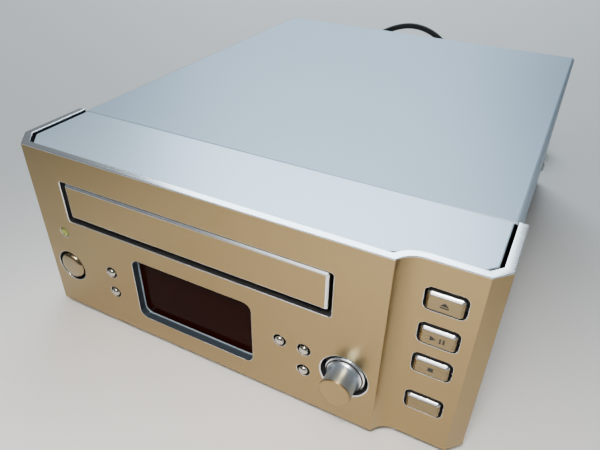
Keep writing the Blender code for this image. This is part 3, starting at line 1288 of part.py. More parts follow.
CAM_REST_SHIFT = 0.010
SLED_GEAR_LIP = 0.0004
CONE_SHARE = 0.62

PIVOT_Y = FACE_Y + TRAVERSE_REAR_DEPTH - PIVOT_INSET
TRAVERSE_TOP = TRAVERSE_Z + TRAVERSE_PLATE
SLED_GEAR_X = TRAY_X + SLED_RACK_X + TRAIN_MODULE * SLED_TEETH / 2
SLED_FRONT = FACE_Y + SLED_FRONT_DEPTH
SLED_GEAR_Y = SLED_FRONT + SLED_GEAR_BEHIND
CAM_FRONT = FACE_Y + CAM_DEPTH
SLED_GEAR_LOW = SLED_RACK_LOW - SLED_GEAR_LIP


def traverse():
    x = TRAY_X
    front, rear = FACE_Y + TRAVERSE_FRONT_DEPTH, FACE_Y + TRAVERSE_REAR_DEPTH
    outline = rectangle(x - TRAVERSE_HALF, x + TRAVERSE_HALF, front, rear)
    hatch_front = SLED_FRONT - SLED_HATCH_ROOM
    hatch = rectangle(x - SLED_HATCH_HALF, x + SLED_HATCH_HALF, hatch_front, hatch_front + SLED_HATCH_LENGTH)
    holes = [hatch, circle((x, DISC_Y), SPINDLE_BOSS + HOLE_CLEARANCE),
             circle((SLED_GEAR_X, SLED_GEAR_Y), SPINDLE_SHAFT + HOLE_CLEARANCE, 12)]
    plate = prism("traverse", [outline, *holes], "XY", TRAVERSE_Z, TRAVERSE_TOP, BLACK)
    parts = []
    for side in (-1, 1):
        start, end = x + side * (TRAVERSE_HALF - EAR), x + side * (HATCH_HALF + EAR)
        parts.append(rod(f"pivot_{side}", (PIVOT_Y, PIVOT_Z), PIN_RADIUS, min(start, end), max(start, end),
                         "X"))
        across = x + side * ROD_SHIFT
        outline = rectangle(across - BLOCK_HALF, across + BLOCK_HALF, TRAVERSE_TOP - JOINT_LAP,
                            ROD_Z + BLOCK_HALF)
        bore = circle((across, ROD_Z), ROD_RADIUS + SEAT, 12)
        for k, depth in enumerate((ROD_FRONT_DEPTH, ROD_REAR_DEPTH - BLOCK_LENGTH)):
            parts.append(prism(f"rod_block_{side}_{k}", [outline, bore], "XZ", FACE_Y + depth,
                               FACE_Y + depth + BLOCK_LENGTH))
    parts.append(rod("lift_pin", (x, TRAVERSE_Z + TRAVERSE_PLATE / 2), LIFT_PIN_RADIUS * PIN_THIN_SHARE,
                     CAM_FRONT, front + JOINT_LAP, "Y", sides=12))
    joined(plate, *parts)
    for side, name in ((-1, "left"), (1, "right")):
        rod(f"guide_rod_{name}", (x + side * ROD_SHIFT, ROD_Z), ROD_RADIUS, FACE_Y + ROD_FRONT_DEPTH,
            FACE_Y + ROD_REAR_DEPTH, "Y", CHROME, 12)


def cam_slider():
    """A plate across the front of the traverse, with the slanted slot that carries its lift pin."""
    arm = PIVOT_Y - CAM_FRONT - CAM_THICKNESS / 2
    drop = arm * math.sin(TRAVERSE_SWING)
    pin_z = TRAVERSE_Z + TRAVERSE_PLATE / 2
    top = pin_z + CAM_TOP_MARGIN
    low = top - CAM_HEIGHT
    start = Vector((TRAY_X, pin_z))
    end = Vector((TRAY_X - CAM_TRAVEL, pin_z - drop))
    along = (start - end).normalized()
    aside = Vector((-along.y, along.x)) * (LIFT_PIN_RADIUS + CAM_SLOT_CLEARANCE)
    extra = along * LIFT_PIN_RADIUS * 2
    upper, lower = start + extra, end - extra
    slot = [tuple(point) for point in (upper + aside, lower + aside, lower - aside, upper - aside)]
    middle = TRAY_X - CAM_REST_SHIFT
    outline = rectangle(middle - CAM_LENGTH / 2, middle + CAM_LENGTH / 2, low, top)
    prism("cam_slider", [outline, slot], "XZ", CAM_FRONT + SEAT, CAM_FRONT + SEAT + CAM_THICKNESS, WHITE)


def disc_drive():
    x = TRAY_X
    motor = rod("spindle_motor", (x, DISC_Y), SPINDLE_CAN, TRAVERSE_Z - SEAT - SPINDLE_HEIGHT,
                TRAVERSE_Z - SEAT, sides=MOTOR_SIDES, surface=ZINC)
    joined(motor, rod("spindle_boss", (x, DISC_Y), SPINDLE_BOSS, TRAVERSE_Z - SPINDLE_HEIGHT / 2,
                      PLATTER_BOSS_LOW - SEAT),
           rod("spindle_shaft", (x, DISC_Y), SPINDLE_SHAFT, TRAVERSE_Z, PLATTER_TOP - PLATTER_THICKNESS,
               sides=12))
    rise = PLATTER_TOP + CENTRING_HEIGHT
    bore = SPINDLE_SHAFT + SEAT
    profile = [
        (0, rise),
        (CENTRING_RADIUS * CONE_SHARE, rise),
        (CENTRING_RADIUS, PLATTER_TOP + CENTRING_HEIGHT / 3),
        (CENTRING_RADIUS, PLATTER_TOP),
        (PLATTER_RADIUS, PLATTER_TOP),
        (PLATTER_RADIUS, PLATTER_TOP - PLATTER_THICKNESS),
        (PLATTER_BOSS, PLATTER_TOP - PLATTER_THICKNESS),
        (PLATTER_BOSS, PLATTER_BOSS_LOW),
        (bore, PLATTER_BOSS_LOW),
        (bore, PLATTER_TOP - PLATTER_THICKNESS / 2),
        (0, PLATTER_TOP - PLATTER_THICKNESS / 2),
    ]
    turned("turntable", profile, (x, DISC_Y, 0), "Z", BLACK, 28)

    front = SLED_FRONT
    rear = front + SLED_LENGTH
    sled = block("pickup_sled", (x - SLED_HALF, front, SLED_LOW), (x + SLED_HALF, rear, SLED_TOP), BLACK)
    parts = [rod("lens", (x, front + LENS_AHEAD), LENS_RADIUS, SLED_TOP - JOINT_LAP, LENS_TOP, sides=16)]
    for side in (-1, 1):
        across = x + side * ROD_SHIFT
        reach = ROD_SHIFT - SLED_HALF + SLEEVE_HALF
        inner = x + side * (SLED_HALF - JOINT_LAP)
        outer = x + side * (SLED_HALF + reach)
        parts.append(block(f"sleeve_{side}", (min(inner, outer), front, ROD_Z - SLEEVE_HALF),
                           (max(inner, outer), rear, ROD_Z + SLEEVE_HALF)))
    rack_low = SLED_GEAR_Y - SLED_TRAVEL - RACK_END
    rack = rack_outline(x + SLED_RACK_X, x + SLED_HALF + reach - JOINT_LAP, SLED_GEAR_Y, rack_low, rear,
                        TRAIN_MODULE)
    parts.append(prism("sled_rack", [rack], "XY", SLED_RACK_LOW, SLED_RACK_LOW + SLED_RACK_HEIGHT))
    joined(sled, *parts)
    bores = [rod(f"sled_bore_{side}", (x + side * ROD_SHIFT, ROD_Z), ROD_RADIUS + SEAT, front - OVERRUN,
                 rear + OVERRUN, "Y", sides=12) for side in (-1, 1)]
    cut(sled, *bores)

    centre = (SLED_GEAR_X, SLED_GEAR_Y)
    top = SLED_RACK_LOW + SLED_RACK_HEIGHT
    gear = prism("sled_gear", [gear_outline(centre, SLED_TEETH, TRAIN_MODULE)], "XY", SLED_GEAR_LOW, top,
                 WHITE)
    cut(gear, rod("sled_gear_bore", centre, SPINDLE_SHAFT + SEAT, SLED_RACK_LOW - OVERRUN, top + OVERRUN,
                  sides=12))
    motor_top = TRAVERSE_Z - SEAT
    motor = rod("sled_motor", centre, SLED_MOTOR_RADIUS, motor_top - SLED_MOTOR_HEIGHT, motor_top,
                sides=20, surface=ZINC)
    joined(motor, rod("sled_shaft", centre, SPINDLE_SHAFT, TRAVERSE_Z - SLED_MOTOR_HEIGHT / 2, top,
                      sides=12))


def clamp():
    """Bridge over the tray and the puck that holds the disc down."""
    low = LOADER_TOP + SEAT
    y = DISC_Y
    bridge = rectangle(TRAY_X - HALF_OUTER, TRAY_X + HALF_OUTER, y - BRIDGE_FRONT, y + BRIDGE_FRONT)
    hole = circle((TRAY_X, y), CLAMPER_RADIUS + HOLE_CLEARANCE, 32)
    prism("clamp_bridge", [bridge, hole], "XY", low, low + BRIDGE_SHEET, ZINC)
    top = low + BRIDGE_SHEET + SEAT
    profile = [
        (0, top + CLAMPER_FLANGE_HEIGHT),
        (CLAMPER_FLANGE, top + CLAMPER_FLANGE_HEIGHT),
        (CLAMPER_FLANGE, top),
        (CLAMPER_RADIUS, top),
        (CLAMPER_RADIUS, CLAMPER_BOTTOM),
        (0, CLAMPER_BOTTOM),
    ]
    turned("clamper", profile, (TRAY_X, y, 0), "Z", BLACK, 24)


BRACKET_SHEET = 0.0012
BRACKET_FLANGE = 0.008
BRACKET_FRONT_INSET = 0.0025
BRACKET_REAR_INSET = 0.002
BRACKET_WINDOW_SHARE = 0.5


def brackets():
    """C section brackets that carry the loader frame over the pan, flanges outwards."""
    low, high = PAN_TOP + SEAT, LOADER_BASE_Z - SEAT
    front = FACE_Y + HATCH_FRONT_DEPTH - BRACKET_FRONT_INSET
    rear = FACE_Y + LOADER_REAR_DEPTH - BRACKET_REAR_INSET
    middle, half = (front + rear) / 2, (rear - front) * BRACKET_WINDOW_SHARE / 2
    for side, name in ((-1, "left"), (1, "right")):
        web = TRAY_X + side * BRACKET_SHIFT
        out = web + side * BRACKET_FLANGE
        skin = web + side * BRACKET_SHEET
        section = [(web, low), (out, low), (out, low + BRACKET_SHEET), (skin, low + BRACKET_SHEET),
                   (skin, high - BRACKET_SHEET), (out, high - BRACKET_SHEET), (out, high), (web, high)]
        bracket = prism(f"loader_bracket_{name}", [section], "XZ", front, rear, ZINC)
        cut(bracket, block(f"bracket_window_{name}",
                           (web - BRACKET_FLANGE / 2, middle - half, low + BRACKET_FLANGE),
                           (web + BRACKET_FLANGE / 2, middle + half, high - BRACKET_FLANGE)))


# Mains lead: free stretch, coil, tie and plug

CORD_ROUTE = [
    (0.0000, 0.0218, 0.0760),
    (0.0000, 0.0305, 0.0760),
    (0.0016, 0.0399, 0.0772),
    (0.0068, 0.0476, 0.0800),
    (0.0146, 0.0520, 0.0829),
    (0.0234, 0.0536, 0.0848),
    (0.0324, 0.0538, 0.0846),
    (0.0412, 0.0530, 0.0826),
    (0.0498, 0.0510, 0.0790),
    (0.0579, 0.0480, 0.0736),
    (0.0650, 0.0443, 0.0666),
    (0.0709, 0.0404, 0.0586),
    (0.0757, 0.0366, 0.0501),
    (0.0801, 0.0329, 0.0416),
    (0.0848, 0.0294, 0.0334),
    (0.0903, 0.0262, 0.0260),
    (0.0969, 0.0238, 0.0206),
    (0.1046, 0.0229, 0.0181),
    (0.1093, 0.0229, 0.0181),
]
ROUTE_STEPS = 2
COIL_SHIFT = 0.114
COIL_BEHIND = 0.0552
COIL_OUTER = 0.0323
COIL_INNER = 0.0204
COIL_PITCH = 0.0049
COIL_REST = 0.0012
COIL_LAYERS = 4
COIL_TURNS = 9.5
LOOP_POINTS = 24
PLUG_RUN = 0.036
PLUG_RISE = 0.0032
PLUG_THICKNESS = 0.0125
PLUG_WIDTH = 0.02
PLUG_LENGTH = 0.023
PLUG_CORNER = 0.0035
PLUG_BOOT = 0.012
PLUG_BOOT_RADIUS = 0.004
BLADE_LENGTH = 0.0175
BLADE_WIDTH = 0.0063
BLADE_THICKNESS = 0.0015
BLADE_SPACING = 0.0127
TIE_THICKNESS = 0.0007
TIE_CLEARANCE = 0.0009
TIE_WIDTH = 0.007
COIL_X = GROMMET_X + COIL_SHIFT


def smooth_route(points, steps):
    """Points along a cubic B-spline that starts and ends on its first and last control point."""
    control = [Vector(p) for p in points]
    control = [2 * control[0] - control[1], *control, 2 * control[-1] - control[-2]]
    line = []
    for a, b, c, d in zip(control, control[1:], control[2:], control[3:]):
        for k in range(steps):
            t = k / steps
            weights = ((1 - t) ** 3, 3 * t ** 3 - 6 * t ** 2 + 4,
                       -3 * t ** 3 + 3 * t ** 2 + 3 * t + 1, t ** 3)
            line.append((weights[0] * a + weights[1] * b + weights[2] * c + weights[3] * d) / 6)
    line.append(control[-2])
    return line


def coil_line():
    """Loops that spiral in and out layer by layer, top to bottom, then run out to the plug."""
    centre = Vector((COIL_X, REAR_Y + COIL_BEHIND))
    turns_per_layer = COIL_TURNS / COIL_LAYERS
    lowest = COIL_REST + CORD_DIAMETER / 2
    count = round(COIL_TURNS * LOOP_POINTS)
    line = []
    for k in range(count + 1):
        turn = k / LOOP_POINTS
        layer = min(int(turn / turns_per_layer), COIL_LAYERS - 1)
        share = turn / turns_per_layer - layer
        radius = COIL_OUTER + (COIL_INNER - COIL_OUTER) * (share if layer % 2 == 0 else 1 - share)
        level = layer
        for change in range(1, COIL_LAYERS):
            ramp = (turn - change * turns_per_layer) * 2 + 1 / 2
            if 0 < ramp < 1:
                level = change - 1 + ramp
        height = lowest + (COIL_LAYERS - 1 - level) * COIL_PITCH
        angle = math.tau * turn - math.pi / 2
        line.append(Vector((centre.x + radius * math.cos(angle), centre.y + radius * math.sin(angle),
                            height)))
    start = line[0] - Vector((CORD_DIAMETER, 0, 0))
    last = line[-1]
    back = math.copysign(1, math.cos(math.tau * COIL_TURNS))
    run = []
    steps = round(PLUG_RUN / CORD_DIAMETER / 2)
    for k in range(1, steps + 1):
        share = k / steps
        rise = PLUG_RISE * (1 - math.cos(math.pi * share)) / 2
        run.append(last + Vector((back * (PLUG_RUN - CORD_DIAMETER) * share, 0, rise)))
    run.append(run[-1] + Vector((back * CORD_DIAMETER, 0, 0)))
    return [start, *line, *run]


def least_gap(line, diameter):
    """Smallest clear space between stretches of the line more than half a loop apart."""
    least = math.inf
    for k, point in enumerate(line):
        for other in line[k + LOOP_POINTS // 2:]:
            least = min(least, (point - other).length - diameter)
    return least


def mains_lead():
    """The lead, from the grommet to its plug. Its route is (across from the grommet, behind, up)."""
    spots = [(GROMMET_X + across, REAR_Y + behind, level) for across, behind, level in CORD_ROUTE]
    route = smooth_route(spots, ROUTE_STEPS)
    tube("mains_cord", route, CORD_DIAMETER / 2, 2, RUBBER)
    line = coil_line()
    tube("cord_coil", line, CORD_DIAMETER / 2, 1, RUBBER)
    length = sum((b - a).length for path in (route, line) for a, b in zip(path, path[1:]))
    print("coil's least gap to itself:", round(least_gap(line, CORD_DIAMETER), 5))
    print("mains lead outside the case:", round(length, 3))

    end = line[-1]
    nose = end.x - SEAT
    level = end.z
    body_front = nose - PLUG_BOOT
    boot = rod("plug_boot", (end.y, level), PLUG_BOOT_RADIUS, body_front - JOINT_LAP, nose, "X", sides=16,
               tip=CORD_DIAMETER / 2)
    plug = prism("mains_plug", [rounded((end.y, level), PLUG_WIDTH, PLUG_THICKNESS, PLUG_CORNER)], "YZ",
                 body_front - PLUG_LENGTH, body_front, BLACK)
    root = body_front - PLUG_LENGTH
    blades = []
    for side in (-1, 1):
        middle = end.y + side * BLADE_SPACING / 2
        blades.append(block(f"blade_{side}", (root - BLADE_LENGTH, middle - BLADE_THICKNESS / 2,
                                              level - BLADE_WIDTH / 2),
                            (root + JOINT_LAP, middle + BLADE_THICKNESS / 2, level + BLADE_WIDTH / 2)))
    joined(plug, boot, *blades)

    middle = (COIL_OUTER + COIL_INNER) / 2
    width = COIL_OUTER - COIL_INNER + CORD_DIAMETER + 2 * TIE_CLEARANCE
    height = (COIL_LAYERS - 1) * COIL_PITCH + CORD_DIAMETER + TIE_CLEARANCE
    level = COIL_REST - TIE_CLEARANCE / 2 + height / 2
    y = REAR_Y + COIL_BEHIND
    outer = rounded((COIL_X + middle, level), width + 2 * TIE_THICKNESS, height + 2 * TIE_THICKNESS,
                    CORD_DIAMETER / 2 + TIE_THICKNESS)
    inner = rounded((COIL_X + middle, level), width, height, CORD_DIAMETER / 2)
    prism("cord_tie", [outer, inner], "XZ", y - TIE_WIDTH / 2, y + TIE_WIDTH / 2, WHITE)


def hung(name, origin, parent=None):
    """Put a moving part's origin on its joint's axis or its guide, and hang it on its carrier."""
    obj = bpy.data.objects[name]
    obj.data.transform(Matrix.Translation(-Vector(origin)))
    obj.location = origin
    if parent:
        obj.parent = bpy.data.objects[parent]
        obj.location -= obj.parent.location


def moving_parts():
    hung("disc_tray", (TRAY_X, TRAY_FRONT, TRAY_LOW))
    hung("tray_door", (TRAY_X, TRAY_FRONT, TRAY_LOW), "disc_tray")
    hung("tray_gear", (GEAR_X, GEAR_Y, TRAIN_LOW))
    hung("belt_wheel", (PINION_X, GEAR_Y, TRAIN_LOW))
    hung("motor_pulley", (PULLEY_X, GEAR_Y, WHEEL_LOW))
    hung("cam_slider", (TRAY_X, CAM_FRONT, TRAVERSE_Z))
    hung("clamper", (TRAY_X, DISC_Y, CLAMPER_BOTTOM))
    hung("traverse", (TRAY_X, PIVOT_Y, PIVOT_Z))
    for name in ("guide_rod_left", "guide_rod_right", "spindle_motor", "sled_motor"):
        hung(name, (TRAY_X, PIVOT_Y, PIVOT_Z), "traverse")
    hung("turntable", (TRAY_X, DISC_Y, PLATTER_BOSS_LOW), "traverse")
    hung("pickup_sled", (TRAY_X, SLED_FRONT, ROD_Z), "traverse")
    hung("sled_gear", (SLED_GEAR_X, SLED_GEAR_Y, SLED_GEAR_LOW), "traverse")
    hung("power_button", (POWER_X, FACE_Y, TOP_Z - POWER_DROP))
    for name, (across, drop) in SMALL_BUTTONS.items():
        hung(name, (across, FACE_Y, TOP_Z - drop))
    for name, drop in KEYS.items():
        hung(name, (KEY_X, RECESS_Y, TOP_Z - drop))
    hung("jog_shaft", (JOG_X, FACE_Y, TOP_Z - JOG_DROP))
    hung("jog_knob", (JOG_X, FACE_Y, TOP_Z - JOG_DROP), "jog_shaft")


front_panel()
inner_bezel()
boards()
controls()
case()
rear_side()
electronics()
disc_tray()
loader_frame()
gear_pair()
traverse()
cam_slider()
disc_drive()
clamp()
brackets()
mains_lead()
moving_parts()
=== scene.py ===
# %% [markdown]
# # A compact disc player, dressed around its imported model
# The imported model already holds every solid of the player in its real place: panel, cover, loader, gears,
# boards and lead. This lesson loads it, looks at it through the photograph's camera, and gives each piece
# its finish. Pieces whose edges catch the light get a finer twin that takes the plain solid's place.

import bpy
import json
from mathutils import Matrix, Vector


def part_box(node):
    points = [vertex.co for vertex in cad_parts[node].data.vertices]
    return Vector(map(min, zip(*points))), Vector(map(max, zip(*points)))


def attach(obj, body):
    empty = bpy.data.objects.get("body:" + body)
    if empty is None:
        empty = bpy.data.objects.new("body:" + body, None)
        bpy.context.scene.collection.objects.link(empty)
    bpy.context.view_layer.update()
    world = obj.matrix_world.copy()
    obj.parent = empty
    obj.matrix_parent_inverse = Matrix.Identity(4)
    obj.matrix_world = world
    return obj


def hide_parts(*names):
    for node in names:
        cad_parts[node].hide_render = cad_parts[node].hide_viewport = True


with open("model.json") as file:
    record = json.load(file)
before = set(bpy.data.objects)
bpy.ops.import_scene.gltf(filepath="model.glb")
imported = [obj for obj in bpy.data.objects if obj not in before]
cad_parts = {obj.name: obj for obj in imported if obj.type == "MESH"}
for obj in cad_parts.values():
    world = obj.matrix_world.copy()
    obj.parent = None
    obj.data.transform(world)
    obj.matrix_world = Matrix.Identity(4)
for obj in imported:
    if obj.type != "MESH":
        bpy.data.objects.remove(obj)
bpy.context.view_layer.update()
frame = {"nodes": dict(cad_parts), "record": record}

import json
import math

import bmesh
import bpy
from mathutils import Matrix, Vector

# %% [markdown]
# ## The camera
# A camera is a place, a direction and a lens. All three were fitted to the corners of the case as they lie
# in the photograph, so what is drawn later falls on the same spot of the picture. Angles or a target could
# aim it as well, but a matrix keeps the fitted turn exactly: its first three columns are the camera's
# right, up and back directions, and the fourth is its place.

# %% Camera
LENS = 32.43
SENSOR = 36.0
camera_data = bpy.data.cameras.new("camera")
camera_data.lens = LENS
camera_data.sensor_width = SENSOR
camera_data.clip_start = 0.01
camera = bpy.data.objects.new("camera", camera_data)
bpy.context.scene.collection.objects.link(camera)
camera.matrix_world = Matrix((
    (0.88718567, -0.2724501, 0.37238761, 0.10655),
    (0.46108494, 0.49307469, -0.73775201, -0.2674),
    (0.01738571, 0.82622533, 0.56307144, 0.1985),
    (0.0, 0.0, 0.0, 1.0),
))
bpy.context.scene.camera = camera
print("camera stands", round(camera.location.z, 3), "m above the table")

# %% [markdown]
# ## The mains lead
# A lead is a fixed length of something that bends only so far. It leaves the rear panel through a tapered
# boot, arches over, comes down to the table and ends in a tied coil behind the case, where the player
# hides it. It could be made of tubes set end to end, but one line followed all the way can't come apart: a
# smooth stretch led by a few chosen points first, then turns that a formula winds in and out, layer by
# layer.

# %% Sizes of the lead and the points of its free part
REAR_Y = 0.1321
LEAD_DIAMETER = 0.0044
LEAD_POINTS = [
    (-0.0480, 0.0218, 0.0760), (-0.0480, 0.0305, 0.0760), (-0.0464, 0.0399, 0.0772), (-0.0412, 0.0476, 0.0800),
    (-0.0334, 0.0520, 0.0829), (-0.0246, 0.0536, 0.0848), (-0.0156, 0.0538, 0.0846), (-0.0068, 0.0530, 0.0826),
    (0.0018, 0.0510, 0.0790), (0.0099, 0.0480, 0.0736), (0.0170, 0.0443, 0.0666), (0.0229, 0.0404, 0.0586),
    (0.0277, 0.0366, 0.0501), (0.0321, 0.0329, 0.0416), (0.0368, 0.0294, 0.0334), (0.0423, 0.0262, 0.0260),
    (0.0489, 0.0238, 0.0206), (0.0566, 0.0229, 0.0181), (0.0613, 0.0229, 0.0181),
]
ROUTE_STEPS = 4
COIL_X = 0.066
COIL_Y = REAR_Y + 0.0552
COIL_OUTER = 0.0323
COIL_INNER = 0.0204
COIL_PITCH = 0.0049
COIL_REST = 0.0012
COIL_LAYERS = 4
COIL_TURNS = 9.5
LOOP_POINTS = 48
RAMP_TURNS = 0.5
PLUG_RUN = 0.036
PLUG_RISE = 0.0032


def flowing(points, steps):
    """Points along a cubic B-spline that starts and ends on its first and last point."""
    control = [Vector(point) for point in points]
    control = [2 * control[0] - control[1], *control, 2 * control[-1] - control[-2]]
    line = []
    for a, b, c, d in zip(control, control[1:], control[2:], control[3:]):
        for k in range(steps):
            t = k / steps
            weights = ((1 - t) ** 3, 3 * t ** 3 - 6 * t ** 2 + 4, -3 * t ** 3 + 3 * t ** 2 + 3 * t + 1, t ** 3)
            line.append((weights[0] * a + weights[1] * b + weights[2] * c + weights[3] * d) / 6)
    return line + [control[-2]]


free_part = flowing([(x, REAR_Y + behind, z) for x, behind, z in LEAD_POINTS], ROUTE_STEPS)
print("the free part ends", round(free_part[-1].z * 1000, 1), "mm above the table")

# %% Turns of the coil


def coiled():
    """Turns that spiral in and out, layer by layer from the top down, then a short run out to the plug."""
    per_layer = COIL_TURNS / COIL_LAYERS
    lowest = COIL_REST + LEAD_DIAMETER / 2
    line = []
    for k in range(round(COIL_TURNS * LOOP_POINTS) + 1):
        turn = k / LOOP_POINTS
        layer = min(int(turn / per_layer), COIL_LAYERS - 1)
        share = turn / per_layer - layer
        radius = COIL_OUTER + (COIL_INNER - COIL_OUTER) * (share if layer % 2 == 0 else 1 - share)
        level = layer
        for change in range(1, COIL_LAYERS):
            ramp = (turn - change * per_layer) / RAMP_TURNS + 1 / 2
            if 0 < ramp < 1:
                level = change - 1 + ramp
        angle = math.tau * turn - math.pi / 2
        line.append(Vector((COIL_X + radius * math.cos(angle), COIL_Y + radius * math.sin(angle),
                            lowest + (COIL_LAYERS - 1 - level) * COIL_PITCH)))
    back = math.copysign(1, math.cos(math.tau * COIL_TURNS))
    last = line[-1]
    steps = 2 * round(PLUG_RUN / LEAD_DIAMETER / 2)
    for k in range(1, steps + 1):
        share = k / steps
        rise = PLUG_RISE * (1 - math.cos(math.pi * share)) / 2
        line.append(last + Vector((back * (PLUG_RUN - LEAD_DIAMETER) * share, 0, rise)))
    line.append(line[-1] + Vector((back * LEAD_DIAMETER, 0, 0)))
    return line


lead_line = free_part + coiled()
lead_length = sum((b - a).length for a, b in zip(lead_line, lead_line[1:]))
print("the lead is", round(lead_length, 3), "m long")

# %% A round tube along the route


def round_tube(name, points, radius, resolution=4):
    """A round tube that follows points, drawn as a curve and kept as a mesh."""
    data = bpy.data.curves.new(name, "CURVE")
    data.dimensions = "3D"
    data.bevel_depth = radius
    data.bevel_resolution = resolution
    data.use_fill_caps = True
    spline = data.splines.new("POLY")
    spline.points.add(len(points) - 1)
    for point, place in zip(spline.points, points):
        point.co = (*place, 1)
    drawn = bpy.data.objects.new("drawn", data)
    bpy.context.scene.collection.objects.link(drawn)
    bpy.context.view_layer.update()
    mesh = bpy.data.meshes.new_from_object(drawn.evaluated_get(bpy.context.evaluated_depsgraph_get()))
    bpy.data.objects.remove(drawn)
    mesh.name = name
    mesh.shade_smooth()
    piece = bpy.data.objects.new(name, mesh)
    bpy.context.scene.collection.objects.link(piece)
    return piece


mains_lead = round_tube("mains_lead", lead_line, LEAD_DIAMETER / 2)
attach(mains_lead, "player")
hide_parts("mains_cord", "cord_coil")
print("lead:", len(mains_lead.data.polygons), "faces")

# %% [markdown]
# ## Wires that add up
# A finish is a small calculation: a noise, times a strength, plus a base value. Blender draws it as boxes
# and cables, and here it is written as sums. The class below wraps a socket, so that a plus or a times adds
# the Math node for it, and a second class adds any other node through one method.

# %% Sums of sockets


class Wire:
    """A socket that takes part in Python sums."""

    def __init__(self, finish, socket):
        self.finish = finish
        self.socket = socket

    def math(self, operation, *values):
        """Add a Math node that takes values, and give its result."""
        return self.finish.node("ShaderNodeMath", {"operation": operation}, dict(enumerate(values)))

    def __add__(self, other):
        return self.math("ADD", self, other)

    def __radd__(self, other):
        return self.math("ADD", other, self)

    def __sub__(self, other):
        return self.math("SUBTRACT", self, other)

    def __rsub__(self, other):
        return self.math("SUBTRACT", other, self)

    def __mul__(self, other):
        return self.math("MULTIPLY", self, other)

    def __rmul__(self, other):
        return self.math("MULTIPLY", other, self)


# %% One finish


class Finish:
    """A material, and one method for every node in it."""

    def __init__(self, name, colour, roughness, metallic=0.0, **fixed):
        self.material = bpy.data.materials.new(name)
        self.material.use_nodes = True
        self.tree = self.material.node_tree
        self.shader = self.tree.nodes["Principled BSDF"]
        self.colour = colour
        self.feed("Base Color", (*colour, 1.0))
        self.feed("Roughness", roughness)
        self.feed("Metallic", metallic)
        for socket, value in fixed.items():
            self.feed(socket.replace("_", " "), value)
        self.place = self.node("ShaderNodeTexCoord", output="Object")

    def feed(self, socket, value):
        """Set or link a socket of the surface's own shader."""
        self.connect(self.shader.inputs[socket], value)

    def connect(self, socket, value):
        """Link a wire to a socket, or set the socket to a plain value."""
        if isinstance(value, Wire):
            self.tree.links.new(value.socket, socket)
        else:
            socket.default_value = value

    def node(self, kind, settings=None, sockets=None, output=0):
        """Add a node: its settings first, then the values or wires of its sockets."""
        made = self.tree.nodes.new(kind)
        for name, value in (settings or {}).items():
            setattr(made, name, value)
        for name, value in (sockets or {}).items():
            self.connect(made.inputs[name], value)
        return Wire(self, made.outputs[output])

    def stretched(self, factors):
        """The place on the piece, stretched along its axes."""
        return self.node("ShaderNodeVectorMath", {"operation": "MULTIPLY"}, {0: self.place, 1: factors})

    def noise(self, scale, detail=2.0, at=None):
        """Cloudy values from 0 to 1; scale is in clouds per metre."""
        sockets = {"Vector": at or self.place, "Scale": scale, "Detail": detail}
        return self.node("ShaderNodeTexNoise", None, sockets)

    def mix(self, share, low, high):
        """A colour between two others."""
        return self.node("ShaderNodeMix", {"data_type": "RGBA"}, {0: share, 6: low, 7: high}, output=2)

    def tinted(self, share, spread):
        """Shade the base colour a little darker and lighter."""
        low = tuple(c * (1 - spread) for c in self.colour) + (1.0,)
        high = tuple(min(1.0, c * (1 + spread)) for c in self.colour) + (1.0,)
        self.feed("Base Color", self.mix(share, low, high))

    def bump(self, height, distance, strength):
        """Let light fall as if the surface rose with height, by distance in metres."""
        sockets = {"Height": height, "Distance": distance, "Strength": strength}
        self.feed("Normal", self.node("ShaderNodeBump", None, sockets))


# %% [markdown]
# ## The finishes
# The front is drawn aluminium with a fine grain from side to side, the cover is sprayed steel with metal
# flakes in its paint, and the mouldings are satin plastic. Pictures could be wrapped round the pieces, but
# noise that is worked out at each point needs no unwrapping and stays sharp from near by. Each finish is a
# function of its colour, so that one recipe serves several pieces. Grain and speckle are counted per metre.

# %% Metals
SIDEWAYS_GRAIN = (60.0, 60.0, 2500.0)
CUT_GRAIN = (60.0, 900.0, 60.0)
TURNED_GRAIN = (900.0, 2500.0, 900.0)
SHEET_GRAIN = (900.0, 40.0, 900.0)
LAMINATION_GRAIN = (20.0, 20.0, 1400.0)


def drawn_metal(name, colour, roughness, grain=SIDEWAYS_GRAIN, metallic=1.0):
    """Satin metal with fine lines; grain is how many cross a metre along each axis."""
    made = Finish(name, colour, roughness, metallic)
    lines = made.noise(1.0, 3.0, made.stretched(grain))
    clouds = made.noise(18.0)
    made.feed("Roughness", roughness - 0.05 + lines * 0.07 + clouds * 0.05)
    made.tinted(lines * 0.6 + clouds * 0.4, spread=0.05)
    made.bump(lines, distance=0.00002, strength=0.25)
    return made.material


def polished_metal(name, colour, roughness=0.1):
    """Plated metal with faint handling marks."""
    made = Finish(name, colour, roughness, 1.0)
    marks = made.noise(220.0, 4.0)
    made.feed("Roughness", roughness + marks * 0.08)
    return made.material


def rolled_sheet(name, colour, roughness=0.38):
    """Zinc plated sheet: rolling lines under faint spangle."""
    made = Finish(name, colour, roughness, 1.0)
    lines = made.noise(1.0, at=made.stretched(SHEET_GRAIN))
    spangle = made.node("ShaderNodeTexVoronoi", None, {"Vector": made.place, "Scale": 160.0})
    made.feed("Roughness", roughness + lines * 0.1 - spangle * 0.06)
    made.tinted(spangle * 0.5 + lines * 0.5, spread=0.1)
    return made.material


# %% Paints and plastics
TEXTURED_MOULD = 0.00002
POLISHED_MOULD = 0.000002
RUBBER_MOULD = 0.00003


def flaked_paint(name, colour, roughness, metallic, flake=0.1):
    """Sprayed silver: metal flakes and a faint orange peel."""
    made = Finish(name, colour, roughness, metallic)
    flakes = made.noise(2600.0)
    clouds = made.noise(9.0, 3.0)
    made.tinted(flakes * 0.75 + clouds * 0.25, flake)
    made.feed("Roughness", roughness - 0.06 + flakes * 0.12)
    made.bump(made.noise(1500.0, 1.0) + flakes * 0.4, distance=0.00003, strength=0.35)
    return made.material


